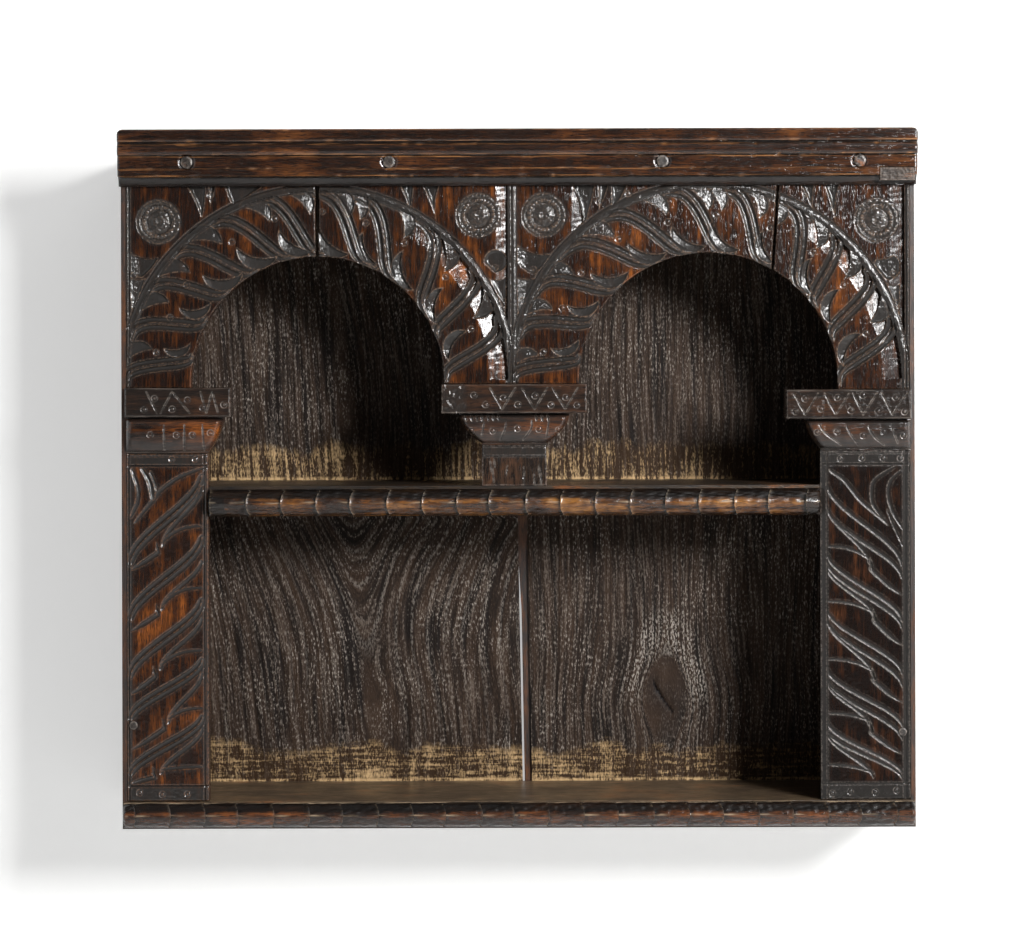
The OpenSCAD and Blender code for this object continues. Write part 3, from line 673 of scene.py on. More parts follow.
def settle(field, reach):
    """Mean of a grid over a square of 2 reach + 1 cells, taken twice, so that it spreads softly."""
    for axis in (0, 1, 0, 1):
        count = field.shape[axis]
        width = [(0, 0), (0, 0)]
        width[axis] = (reach + 1, reach)
        total = np.cumsum(np.pad(field, width, mode="edge"), axis)
        window = 2 * reach + 1
        ahead, behind = (total.take(range(i, i + count), axis) for i in (window, 0))
        field = (ahead - behind) / window
    return field


HALO, HALO_REACH = 1.5, 2.6
CHATTER, CHATTER_SIZE = 0.05, 2.6


def weather(face, pitch, seed):
    """Leaves gouge chatter in the cuts, and lets the wax settle in a dark halo round them."""
    face.depth += CHATTER * face.cut * ripple(face.x, face.z, CHATTER_SIZE, seed)
    spread = settle(face.cut.reshape(face.shape), max(1, round(HALO_REACH / pitch))).ravel()
    face.cut = np.maximum(face.cut, np.clip(HALO * spread - 0.15, 0, 0.85))


# %% [markdown]
# ## From a face to a closed piece
# A face alone is a skin. Every free edge of its grid is drawn straight back to the board behind,
# and one face closes the back, so that the piece is a solid block whatever its outline is.

# %% Closed piece
CREASE = np.radians(52)
SIDE_WAX = 0.3


def grid(xs, zs):
    """Every x with every z, as two arrays."""
    return np.meshgrid(xs, zs, indexing="ij")


def cells(low, high, pitch):
    """How many times a pitch goes into a length."""
    return round((high - low) / pitch)


def steps(low, high, pitch):
    """Places from low to high, about a pitch apart."""
    return np.linspace(low, high, cells(low, high, pitch) + 1)


def vertices_of(mesh):
    """Places of a mesh's vertices, in millimetres."""
    flat = np.empty(len(mesh.vertices) * 3)
    mesh.vertices.foreach_get("co", flat)
    return flat.reshape(-1, 3) / MM


def add_piece(mesh, material, replaced):
    """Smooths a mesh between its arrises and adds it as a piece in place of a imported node."""
    mesh.polygons.foreach_set("use_smooth", np.ones(len(mesh.polygons), bool))
    mesh.set_sharp_from_angle(angle=CREASE)
    mesh.materials.append(material)
    piece = bpy.data.objects.new(mesh.name, mesh)
    scene.collection.objects.link(piece)
    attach(piece, "root")
    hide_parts(replaced)
    print(mesh.name, "has", len(mesh.polygons), "faces")


def carry(mesh, name, values):
    """Stores a number for each vertex under a name."""
    layer = mesh.attributes.new(name, "FLOAT", "POINT")
    layer.data.foreach_set("value", values.astype(np.float32))


def closed_mesh(name, x, y, z, back_y, cut, arris, keep=None):
    """Solid from a grid of points with x rising along its first axis and z along its second. Cells
    in keep are faces, each free edge is drawn to back_y, and one face closes the back."""
    across, up = x.shape
    if keep is None:
        keep = np.ones((across - 1, up - 1), bool)
    index = np.arange(across * up).reshape(across, up)
    i, j = np.nonzero(keep)
    front = np.stack([index[i, j], index[i + 1, j], index[i + 1, j + 1], index[i, j + 1]], 1)
    framed = np.pad(keep, 1)
    inner = framed[1:-1, 1:-1]
    free = []
    for di, dj, a, b in ((0, -1, (0, 0), (1, 0)), (1, 0, (1, 0), (1, 1)),
                         (0, 1, (1, 1), (0, 1)), (-1, 0, (0, 1), (0, 0))):
        beyond = framed[1 + di:framed.shape[0] - 1 + di, 1 + dj:framed.shape[1] - 1 + dj]
        fi, fj = np.nonzero(inner & ~beyond)
        free.append(np.stack([index[fi + a[0], fj + a[1]], index[fi + b[0], fj + b[1]]], 1))
    free = np.concatenate(free)
    rim = np.unique(free)
    behind = np.zeros(across * up, int)
    behind[rim] = across * up + np.arange(len(rim))
    wall = np.stack([free[:, 1], free[:, 0], behind[free[:, 0]], behind[free[:, 1]]], 1)
    points = np.stack([x.ravel(), y.ravel(), z.ravel()], 1)
    rim_points = points[rim].copy()
    rim_points[:, 1] = back_y
    points = np.concatenate([points, rim_points])
    cuts = np.concatenate([cut.ravel(), np.full(len(rim), SIDE_WAX)])
    arrises = np.concatenate([arris.ravel(), np.zeros(len(rim))])
    faces = np.concatenate([front, wall])
    used, faces = np.unique(faces, return_inverse=True)
    faces = faces.reshape(-1, 4)
    mesh = bpy.data.meshes.new(name)
    mesh.from_pydata((points[used] * MM).tolist(), [], faces.tolist())
    carry(mesh, "cut", cuts[used])
    carry(mesh, "arris", arrises[used])
    shape = bmesh.new()
    shape.from_mesh(mesh)
    open_edges = [edge for edge in shape.edges if edge.is_boundary]
    for made in bmesh.ops.edgeloop_fill(shape, edges=open_edges)["faces"]:
        if made.normal.y < 0:
            made.normal_flip()
    shape.to_mesh(mesh)
    shape.free()
    return mesh


def ease(distance, radius):
    """Drop of a rounded edge at a distance from it: radius - sqrt(radius^2 - (radius - d)^2)."""
    inset = radius - np.clip(distance, 0, radius)
    return radius - np.sqrt(np.clip(radius ** 2 - inset ** 2, 0, None))


# %% [markdown]
# ## The arcade
# Three boards stand side by side, parted by two old splits over the crowns of the arches. Each
# arch has a ring of gouged ribs that curve from a smooth outer stem in to the edge of the arch,
# with a thumbnail cut at each end of every bay and a punched ring between them. A ring is
# easiest in polar terms: an S-shaped rib is an angle that changes evenly while the radius
# follows a smooth step, so it leaves the stem and meets the arch as a tangent does.

# %% Arch plans
ARCH_Z = 380.0
PITCH = {"arcade_board_left": 0.6, "arcade_board_centre": 0.70, "arcade_board_right": 0.6}
ARCHES = {
    "left": {
        "centre": (-171.0, ARCH_Z), "radius": 108.0, "scoop": 2.2,
        "ribs": [(179, 168), (166, 151), (152.5, 135), (140, 119.4), (126, 100.6), (109, 88),
                 (93, 65.7), (80.5, 52), (58, 33), (36, 22), (20, 2.5)],
        "outer": [(173.5, 168.3), (158.9, 151.4), (147.3, 139), (133.4, 124.3), (114, 106.3),
                  (99.5, 92.3), (86.4, 79.6), (80.4, 75.3), (65.5, 59.2), (50.8, 41.3), (31, 22.6)],
        "inner": [(162.5, 167), (143, 151.2), (124, 136.6), (107.5, 120.6), (91.5, 103.8),
                  (76, 89.5), (63.5, 73), (44, 57), (26, 37), (9.5, 19)],
        "rings": [(169, 140), (155.8, 138), (143, 140), (121, 141), (104.5, 145), (88.3, 146.5),
                  (73, 143), (58, 141), (39.5, 142), (19.3, 139)],
    },
    "right": {
        "centre": (162.5, ARCH_Z), "radius": 110.5, "scoop": 1.5,
        "ribs": [(179, 169), (166, 151), (153, 133), (140, 113), (125, 97), (103, 81), (87, 63),
                 (68, 44.5), (51, 36), (35, 20), (21, 1)],
        "outer": [(175.6, 171), (160.6, 155), (148.5, 141.6), (132.8, 123), (111.3, 103.8),
                  (96, 89.8), (91, 85.4), (77.9, 72.6), (71.2, 66.2), (58.2, 51), (44.5, 37.2),
                  (28.4, 20.3)],
        "inner": [(161.5, 167.7), (143, 151.3), (125.5, 137), (107.5, 119.8), (91, 102.8),
                  (76.5, 88.5), (60.5, 70), (39, 50), (25, 35), (6.5, 17)],
        "rings": [(169.5, 143), (153, 140), (139, 143), (122, 144), (104, 141), (87, 143),
                  (68, 142), (51, 143), (35.5, 142), (17, 141)],
    },
}

# %% Arches
STEM_GAP, STEM_W, STEM_EDGE = 60.5, 5.6, 1.2
RIB_CROSSES_BY, RIB_END, RIB_OVERRUN = 0.92, 2.2, 1.14
RIB = {"width": 4.8, "depth": 2.5, "pair": 3.3, "thin": 0.10, "ends": "tail"}
OUTER_CUT, OUTER_BULGE, OUTER_HOLLOW = (2, 36), 0.50, 0.10
INNER_CUT, INNER_BULGE, INNER_HOLLOW, INNER_DEPTH = (27, 6), 0.43, 0.15, 2.6
STEM_LINES = ((1.0, 2.4, 1.7), (-STEM_W, 1.6, 1.0))


def smooth_step(t):
    """3 t^2 - 2 t^3, which leaves 0 and meets 1 level."""
    return t * t * (3 - 2 * t)


def polar(face, centre):
    """Angle in degrees and radius of every point of a face round a centre."""
    dx, dz = face.x - centre[0], face.z - centre[1]
    return np.degrees(np.arctan2(dz, dx)), np.hypot(dx, dz)


def on_ring(centre, angle, radius):
    """Point at an angle in degrees and a radius round a centre."""
    return (centre[0] + radius * np.cos(np.radians(angle)),
            centre[1] + radius * np.sin(np.radians(angle)))


def carve_ring(face, arch):
    """The carved band round one arch: stem, ribs, thumbnail cuts and rings."""
    centre, inner = arch["centre"], arch["radius"]
    outer = inner + STEM_GAP
    stem_inside = outer - STEM_W
    t = np.linspace(0, 1, 260)
    crossed = smooth_step(smooth_step(np.clip(t / RIB_CROSSES_BY, 0, 1)))
    rib_radius = stem_inside - (stem_inside - inner - RIB_END) * crossed
    for start, finish in arch["ribs"]:
        turned = start + (finish - start) * t * RIB_OVERRUN
        flute(face, on_ring(centre, turned, rib_radius), **RIB)
    for start, finish in arch["outer"]:
        head = on_ring(centre, start, stem_inside + OUTER_CUT[0])
        tail = on_ring(centre, finish, inner + OUTER_CUT[1])
        moon(face, tail, head, OUTER_BULGE, OUTER_HOLLOW, arch["scoop"], inward=False)
    for finish, start in arch["inner"]:
        head = on_ring(centre, start, inner + INNER_CUT[0])
        tail = on_ring(centre, finish, inner + INNER_CUT[1])
        moon(face, head, tail, INNER_BULGE, INNER_HOLLOW, INNER_DEPTH, inward=True)
    for angle, radius in arch["rings"]:
        punched_ring(face, *on_ring(centre, angle, radius))
    angle, radius = polar(face, centre)
    ring = (angle > -5) & (angle < 185) & (radius > inner - 2)
    stem = ring & (radius > stem_inside) & (radius < outer)
    over = radius[stem] - stem_inside
    round_stem = 0.5 * (over / STEM_W * 2 - 1) ** 2
    face.depth[stem] = np.where(over > STEM_EDGE, round_stem, face.depth[stem])
    for beyond, width, depth in STEM_LINES:
        straight_line(face, radius, outer + beyond, width, depth, ring)
    face.cut[stem] = 1.0
    face.arris[stem] *= 0.2
    tilt = np.clip(radius - (outer - 22), 0, 18) * 0.33 * np.clip((60 - angle) / 12, 0, 1)
    slope = ring & (radius < stem_inside) & (angle > 1)
    face.depth[slope] = face.depth[slope] + tilt[slope] * np.clip(1 - face.cut[slope], 0, 1)


# %% [markdown]
# ## Spandrels
# The corners between the stem, the borders and the cornice hold the four roundels, with fan
# leaves beside them and small scooped lobes below. Each lobe is a hollow between arcs, so its
# corners and the sag of its sides are all that is needed.

# %% Spandrels
ROUNDELS = [(-306.5, 518), (-33.5, 523), (22.5, 523), (306.5, 518)]
FANS = [
    ([(-267, 556), (-287, 556), (-269.5, 521)], (0, -1.8, 1.5)),
    ([(-254, 556), (-264, 556), (-262, 532)], (0, 0, -1)),
    ([(-212, 552), (-251, 552), (-243, 531)], (0, 0, 0)),
    ([(-89, 556), (-105, 556), (-92, 527)], (0, -2, 1)),
    ([(-63, 556), (-85, 556), (-69, 516.5)], (0, -2, -4)),
    ([(67, 556), (43, 556), (56, 511)], (0, -3, 1)),
    ([(79, 556), (69, 556), (70, 529)], (0, 0, 1)),
    ([(96, 556), (79, 556), (80, 527)], (0, -1, 2)),
    ([(256, 556), (237, 556), (252, 527)], (0, -1, -2)),
    ([(278, 556), (259, 556), (272.5, 511)], (0, -1.5, -4)),
]
LOBES = [
    ([(-306, 488), (-331.5, 493), (-331.5, 476), (-320, 471)], (-3.5, 0, 1.5, 1)),
    ([(-318, 469.5), (-331.5, 470), (-329, 440)], (-1, 0, 0)),
    ([(-9.3, 505), (-34, 489), (-19.5, 474), (-9.3, 481)], (-3.3, 0.5, 2.2, 0)),
    ([(-9.3, 470), (-24.6, 468.5), (-10.5, 444)], (-1.5, 0, 0)),
    ([(28.3, 489.8), (-0.8, 498.4), (0.2, 483), (14.6, 472.7)], (-3.8, 0, 2.2, 1)),
    ([(18.9, 470.2), (-0.8, 469.3), (0.5, 436)], (-1.5, 0, 0)),
    ([(326.6, 492.3), (300.6, 485.6), (315, 466.7), (326.2, 474.2)], (-4, 0.5, 2.2, 0)),
    ([(326.2, 463.1), (315.5, 463.3), (325.5, 437)], (-1, 0, 0)),
]
SPANDREL_RINGS = [(-262, 541), (-327.5, 472.5), (-19.2, 478.5), (-12, 449), (13.5, 476.5),
                  (4.5, 450), (69.5, 534.5), (94.5, 541), (246, 541), (321, 472), (323, 447)]
BORDER_X = 331.5
FILLET_X = (-8.2, -5.0, -1.8)
FILLET_HALF_W = 4.2
SLOPES, SLOPE_FOOT_Z, SLOPE_FALL = [(-19, -9), (46, 56), (318, 330)], 400, 0.34


def carve_spandrels(face):
    """Roundels, leaves, lobes, borders and the fillet up the middle."""
    outside = np.min([np.hypot(face.x - arch["centre"][0], face.z - arch["centre"][1])
                      - arch["radius"] - STEM_GAP for arch in ARCHES.values()], axis=0)
    rings = face.depth.copy(), face.cut.copy(), face.arris.copy()
    for corners, sags in FANS:
        scoop(face, corners, sags, depth=2.2, run=2.6)
    for corners, sags in LOBES:
        scoop(face, corners, sags, depth=2.4, run=2.8, rise=10.0)
    stems = outside < 1.2
    for field, kept in zip((face.depth, face.cut, face.arris), rings):
        field[stems] = kept[stems]
    for x, z in SPANDREL_RINGS:
        punched_ring(face, x, z)
    for number, (x, z) in enumerate(ROUNDELS):
        roundel(face, x, z, seed=number)
    for place in FILLET_X:
        straight_line(face, face.x, place, 1.6, 1.1)
    for side in (-1, 1):
        straight_line(face, face.x * side, BORDER_X, 2.4, 1.3)
    uncut = np.clip(1 - face.cut, 0, 1) * np.clip(outside / 2, 0, 1)
    for left, right in SLOPES:
        sloped = (face.x < right) & (face.z > SLOPE_FOOT_Z)
        across = np.clip(face.x - left, 0, right - left) * sloped
        face.depth += SLOPE_FALL * across * uncut
    fillet = (abs(face.x - FILLET_X[1]) < FILLET_HALF_W) | (abs(face.x) > BORDER_X)
    face.cut[fillet] = 1.0
    face.arris[fillet] *= 0.4


# %% [markdown]
# A board's outline is cut out of a square grid. Cells whose middles lie in the wood are kept,
# and the points along a cut edge are then slid onto the true edge, square to it, so that the
# arch is round at any pitch.

# %% Arcade boards
EASE_R = 1.3
SPLIT_FOOT, SPLIT_HEAD, SPLIT_W = (217.5, 475.8), (225.5, 590.0), 2.0
THINNEST_CUT = 0.02


def board_gap(name, x, z):
    """Distance into the wood from the arches and from the leaning split."""
    gap = np.full_like(x, 1e3)
    for arch in ARCHES.values():
        cx, cz = arch["centre"]
        away = np.where(z > cz, np.hypot(x - cx, z - cz), abs(x - cx))
        gap = np.minimum(gap, away - arch["radius"])
    if name != "arcade_board_left":
        side = 1 if name == "arcade_board_right" else -1
        off_split = -side_distance(x, z, SPLIT_FOOT, SPLIT_HEAD, 0)
        gap = np.minimum(gap, off_split * side - SPLIT_W / 2)
    return gap


def slide_to_edge(name, x, z, low, high):
    """Moves points onto the outline, square to it, and keeps them inside the board's box."""
    step = 0.05
    for _ in range(4):
        gap = board_gap(name, x, z)
        gx = (board_gap(name, x + step, z) - board_gap(name, x - step, z)) / (2 * step)
        gz = (board_gap(name, x, z + step) - board_gap(name, x, z - step)) / (2 * step)
        norm = np.maximum(gx ** 2 + gz ** 2, 0.3)
        x = np.clip(x - gap * gx / norm, low[0], high[0])
        z = np.clip(z - gap * gz / norm, low[2], high[2])
    return x, z


def arcade_board(name):
    """One carved board of the arcade."""
    low, high = span(name)
    pitch = PITCH[name]
    shown_top = CORNICE_FOOT_Z + 1.5
    hidden = np.linspace(shown_top, high[2], 8)[1:]
    x, z = grid(steps(low[0], high[0], pitch),
                np.concatenate([steps(low[2], shown_top, pitch), hidden]))
    middle_x, middle_z = ((field[:-1, :-1] + field[1:, 1:]) / 2 for field in (x, z))
    keep = board_gap(name, middle_x, middle_z) > 0

    def around(edge_value):
        framed = np.pad(keep, 1, constant_values=edge_value)
        return [framed[a:a + x.shape[0], b:b + x.shape[1]] for a in (0, 1) for b in (0, 1)]

    rim = np.any(around(False), axis=0) & ~np.all(around(True), axis=0)
    x[rim], z[rim] = slide_to_edge(name, x[rim], z[rim], low, high)
    face = Face(x, z)
    for arch in ARCHES.values():
        carve_ring(face, arch)
    carve_spandrels(face)
    gap = board_gap(name, face.x, face.z)
    ends = np.minimum.reduce([gap, face.x - low[0], high[0] - face.x, face.z - low[2]])
    face.depth = np.maximum(face.depth, ease(ends, EASE_R))
    face.depth += 0.10 * ripple(face.x, face.z, 30, 5) + 0.05 * ripple(face.x, face.z, 6, 6)
    weather(face, pitch, 7)
    face.arris = np.maximum(face.arris, 0.25 * line_of(ends - 0.4, 0.8))
    y = FACE_Y + np.clip(face.depth, THINNEST_CUT, None)
    mesh = closed_mesh(name.replace("board", "carving"), x, y, z, high[1], face.cut, face.arris,
                       keep)
    add_piece(mesh, carved_upright, name)


for board in PITCH:
    arcade_board(board)

# %% [markdown]
# ## Carved blocks
# The pilasters, the stub and the impost blocks are plain blocks with a carved front. They share
# one function, which lays the grid, calls a carver for the pattern, and rounds the free edges.

# %% Block with a carved front


def carved_block(name, front_y, pitch, carver, finish, rounding=1.6, waves=0.10):
    """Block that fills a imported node's box, with its front carved by a function of the face."""
    low, high = span(name)
    x, z = grid(steps(low[0], high[0], pitch), steps(low[2], high[2], pitch))
    face = Face(x, z)
    carver(face, low, high)
    ends = np.minimum(np.minimum(face.x - low[0], high[0] - face.x),
                      np.minimum(face.z - low[2], high[2] - face.z))
    face.depth = np.maximum(face.depth, ease(ends, rounding))
    seed = int(low[0]) + 700
    face.depth += waves * ripple(face.x, face.z, 26, seed)
    face.depth += waves * 0.5 * ripple(face.x, face.z, 5, seed + 1)
    weather(face, pitch, seed + 2)
    face.arris = np.maximum(face.arris, 0.5 * line_of(ends - 0.5, 0.7))
    y = front_y + np.clip(face.depth, THINNEST_CUT, None)
    mesh = closed_mesh(name + "_carved", x, y, z, high[1], face.cut, face.arris)
    add_piece(mesh, finish, name)


# %% [markdown]
# ## Pilasters
# Each pilaster repeats one leaf pattern five times. A double flute sweeps up from the outer
# border to the inner one, a single flute and a bar come off the inner border and meet in a fork,
# and a tapered stroke fills the corner below. The flutes leave the borders upright and lean
# over between them, so their x follows a smooth step of their z.

# %% Pilaster plans
LEFT_PILASTER = {
    "outer_x": -331.5, "inner_x": -270.5, "pair": 2.5, "lean": 0.0,
    "sweeps": [[(225.1, 301.6)], [(178.1, 249.3)], [(129.2, 196)], [(92.7, 144.8)], [(45.2, 96.1)]],
    "singles": [292, 229, 180, 132.6, 85],
    "bars": [258, 205.5, 152, 102.7, 52.7],
    "forks": [(-303.7, 240.6), (-304.6, 186.6), (-305.8, 135.3), (-299.1, 89.5), (-305.2, 46.2)],
    "strokes": [(220.8, -307.7, 235.6), (168.6, -308.3, 182.9), (114.6, -310.7, 129.7),
                (67.1, -302.9, 85.2), (39.3, -311.4, 43.8)],
    "crown": [[(-265.3, 309), (-288.4, 300.3), (-305.4, 288.4), (-311.4, 280.7), (-327.6, 261)],
              [(-330.2, 307.5), (-325, 292.6), (-325, 279), (-331, 265.3)],
              [(-321.7, 308), (-314.8, 296), (-312.3, 284.1), (-311.8, 281)],
              [(-314, 305.4), (-308, 288.4)]],
    "grooves": [(-332.6, 2.8, 1.5), (-268.2, 2.2, 1.3), (-264.9, 1.4, 0.9)],
    "rings": [(-295.6, 315.5), (-275.6, 315.5), (-304.5, 29.5), (-283, 29.5), (-324, 31)],
    "foot_line": 36.4, "head_line": 310.0,
}
RIGHT_PILASTER = {
    "outer_x": 327.5, "inner_x": 264, "pair": 0, "lean": 0.75,
    "sweeps": [[(222.6, 294.6), (211.9, 274.1)], [(175.6, 234.8), (169.2, 227.1)],
               [(130.5, 187), (119.6, 178.5)], [(85.4, 135.8), (74.4, 127.3)],
               [(44.2, 90.6), (40.5, 83)]],
    "singles": [275, 222.9, 177.6, 124.7, 81],
    "bars": [239.9, 193, 143.6, 97.4, 53.4],
    "forks": [(299.4, 225), (303.1, 179.3), (301.9, 129.6), (298.8, 86.9), (302.5, 41.9)],
    "strokes": [(198, 301.5, 220.3), (155, 304, 176.4), (106.2, 303, 125.9), (62.2, 301, 80.9)],
    "crown": [[(265.8, 304.9), (278.4, 296.3), (291.2, 280.4), (304, 268.9), (314.9, 259)],
              [(322.3, 307.6), (305.3, 296.3), (302.1, 286.8), (304, 274), (315.9, 257.5)],
              [(328.5, 304.9), (318.1, 294.5), (316.4, 282.5), (320.2, 268.9), (328.7, 253.7)],
              [(314.5, 271), (328.7, 239)]],
    "grooves": [(263.4, 1.6, 1.0), (330.2, 5.0, 1.9)],
    "rings": [(275, 314.5), (293.3, 314.5), (311.7, 314.5), (326.2, 314.5),
              (267.3, 28.5), (282.7, 30), (304, 29.5), (321.9, 31)],
    "foot_line": 37.0, "head_line": 309.6,
}

# %% Pilasters
BEVEL_W, BEVEL_SLOPE = 4.6, 0.6
SIDE_EDGE_X, SIDE_X = 328, 330
SWEEP_W, SINGLE_W, BAR_W, STROKE_W = 4.7, 4.4, 3.4, 4.8
CROWN_W, CROWN_SLIT_W, WIDE_CROWNS = 4.2, 2.4, 3


def path_between(start, finish, samples, x_rule=lambda t: t, z_rule=lambda t: t):
    """Path from a place to another, whose x and z each follow a rule of t from 0 to 1."""
    t = np.linspace(0, 1, samples)
    return (start[0] + (finish[0] - start[0]) * x_rule(t),
            start[1] + (finish[1] - start[1]) * z_rule(t))


def sweep_between(start, finish):
    """Path that is upright at both ends."""
    return path_between(start, finish, 200, x_rule=smooth_step)


def bar_between(start, finish):
    """Path that leaves the border level and bends over into the fork, as t^2.6."""
    return path_between(start, finish, 120, z_rule=lambda t: t ** 2.6)


def carve_pilaster(plan):
    """Carver for a pilaster with this plan."""
    def carver(face, low, high):
        outer_x, inner_x, lean = plan["outer_x"], plan["inner_x"], plan["lean"]
        for lines in plan["sweeps"]:
            for foot, head in lines:
                path = sweep_between((outer_x, foot), (inner_x, head))
                flute(face, path, SWEEP_W, 2.1 - 1.5 * lean, pair=plan["pair"], thin=0.38,
                      lean=lean)
        for single, bar, fork in zip(plan["singles"], plan["bars"], plan["forks"]):
            path = sweep_between((inner_x, single), fork)
            flute(face, path, SINGLE_W, 2.0 - 1.4 * lean, thin=0.35, lean=-lean)
            path = bar_between((inner_x, bar), (fork[0], fork[1] + 4))
            flute(face, path, BAR_W, 1.7 - 1.1 * lean, thin=0.5, lean=-lean)
        for point, blunt_x, blunt_z in plan["strokes"]:
            path = path_between((outer_x, point), (blunt_x, blunt_z), 80,
                                z_rule=lambda t: t ** 1.15)
            flute(face, path, STROKE_W, 2.1 - 1.2 * lean, thin=0.2, ends="start", lean=lean)
            notch = [(blunt_x - 1.5, blunt_z + 9), (blunt_x + 0.5, blunt_z)]
            flute(face, curve_through(notch, 40), 2.6, 1.8, thin=0.3, ends="start")
        for number, points in enumerate(plan["crown"]):
            width = CROWN_W if number < WIDE_CROWNS else CROWN_SLIT_W
            flute(face, curve_through(points), width, 1.9 - 1.3 * lean, thin=0.35, lean=-lean)
        for place, width, depth in plan["grooves"]:
            straight_line(face, face.x, place, width, depth)
        for height in (plan["foot_line"], plan["head_line"]):
            straight_line(face, face.z, height, 2.4, 1.5)
        straight_line(face, face.z, high[2] - 2.6, 1.2, 0.6)
        for x, z in plan["rings"]:
            punched_ring(face, x, z)
        bands = (face.z < plan["foot_line"]) | (face.z > plan["head_line"])
        edges = (face.x < plan["grooves"][0][0]) | (face.x > plan["grooves"][-1][0])
        plain = bands | (edges & (abs(face.x) > SIDE_EDGE_X)) | (abs(face.x) > SIDE_X)
        face.cut[plain] = 1.0
        if plan is RIGHT_PILASTER:
            bevel = np.clip(low[0] + BEVEL_W - face.x, 0, None)
            face.depth = np.maximum(face.depth, BEVEL_SLOPE * bevel)
            face.cut = np.maximum(face.cut, np.clip(bevel, 0, 0.8))
    return carver


carved_block("left_pilaster", FACE_Y, 0.62, carve_pilaster(LEFT_PILASTER), pilaster_oak)
carved_block("right_pilaster", FACE_Y, 0.51, carve_pilaster(RIGHT_PILASTER), carved_dark)

# %% [markdown]
# ## Stub pilaster
# Under the middle capital only a short stub is left, with a band at its head and scratches
# where the rest was sawn away long ago.

# %% Stub
STUB_BAND, STUB_SUNK = 10.0, 1.3
SCRATCHES = 9


def carve_stub(face, low, high):
    """Sunk field below a raised band, with a few upright scratches."""
    sunk = STUB_SUNK * np.clip((high[2] - STUB_BAND - face.z) / 0.6, 0, 1)
    face.depth = np.maximum(face.depth, sunk)
    straight_line(face, face.z, high[2] - STUB_BAND + 0.8, 1.4, 0.9)
    straight_line(face, face.z, high[2] - 1.6, 1.2, 0.7)
    rng = np.random.default_rng(11)
    for _ in range(SCRATCHES):
        x = rng.uniform(low[0] + 4, high[0] - 4)
        top, length = rng.uniform(low[2] + 8, high[2] - 11), rng.uniform(6, 18)
        path = curve_through([(x, top - length), (x + rng.uniform(-1.5, 1.5), top)], 60)
        flute(face, path, 1.2, STUB_SUNK + 0.4, thin=0.2)
    band = face.z > high[2] - STUB_BAND
    face.cut[band] = np.maximum(face.cut[band], 0.7)


carved_block("centre_stub_pilaster", FACE_Y, 0.5, carve_stub, stub_oak)

# %% [markdown]
# ## Impost blocks
# The blocks that carry the arches have a row of zigzags scratched with a V tool, with punched
# rings between them. A zigzag is a list of places along the block and whether each is up or down.

# %% Imposts
UP, DOWN = 1, 0
IMPOSTS = {
    "left_impost_block": {
        "zigzags": [[(-316, UP), (-307, DOWN)], [(-304, DOWN), (-294, UP), (-279, DOWN)],
                    [(-270, UP), (-265, DOWN), (-260, UP), (-255, DOWN)]],
        "rings": [(-309, 367.5), (-281, 366), (-294, 358.5), (-318, 358), (-268, 359.5),
                  (-250, 362)]},
    "centre_impost_block": {
        "zigzags": [[(-24, UP), (-13.5, DOWN), (-2, UP)], [(3, UP), (14, DOWN), (25, UP)],
                    [(29, UP), (40, DOWN), (51, UP)]],
        "rings": [(-37.5, 369.5), (-27.5, 361.5), (-12.5, 367), (0, 361.5), (14.3, 369),
                  (28, 361), (40.5, 367.5), (50, 361)]},
    "right_impost_block": {
        "zigzags": [[(234, UP), (244, DOWN), (255, UP)], [(260.5, UP), (270, DOWN), (281.5, UP)],
                    [(284.5, UP), (293.3, DOWN), (305, UP)], [(309, UP), (318, DOWN), (331, UP)]],
        "rings": [(244, 365.5), (235.8, 355), (257.5, 357), (271.5, 366.5), (283, 355.5),
                  (293.3, 368.5), (306, 355), (321, 366.5), (328.5, 354.5)]},
}
IMPOST_Y = span("centre_impost_block")[0][1]
ROUGH_END_X = -43.0
FOOT_R = 2.4


def carve_impost(plan):
    """Carver for an impost block with this plan."""
    def carver(face, low, high):
        levels = {UP: high[2] - 3.2, DOWN: low[2] + 3.4}
        for zigzag in plan["zigzags"]:
            for (x0, up0), (x1, up1) in zip(zigzag[:-1], zigzag[1:]):
                path = curve_through([(x0, levels[up0]), (x1, levels[up1])], 90)
                flute(face, path, 1.3, 0.5, thin=0.5)
        for x, z in plan["rings"]:
            punched_ring(face, x, z)
        face.cut = np.maximum(face.cut, 0.35)
        if low[0] < ROUGH_END_X < high[0]:
            rough = np.clip((ROUGH_END_X - face.x) / 4, 0, 1)
            pits = np.clip(ripple(face.x, face.z, 7, 31) + 0.4, 0, None)
            face.depth += rough * (0.5 * pits + 0.6)
            face.cut = np.maximum(face.cut, rough * 0.8)
        face.depth = np.maximum(face.depth, ease(face.z - low[2], FOOT_R))
    return carver


for block, plan in IMPOSTS.items():
    carved_block(block, IMPOST_Y, 0.45, carve_impost(plan), block_oak, rounding=2.0, waves=0.14)

# %% [markdown]
# ## Capitals
# A capital swells out under its impost and falls away to the pilaster. It is a grid that is bent
# twice: forward by a quarter sine and an ellipse, and sideways so that it spreads at the top.

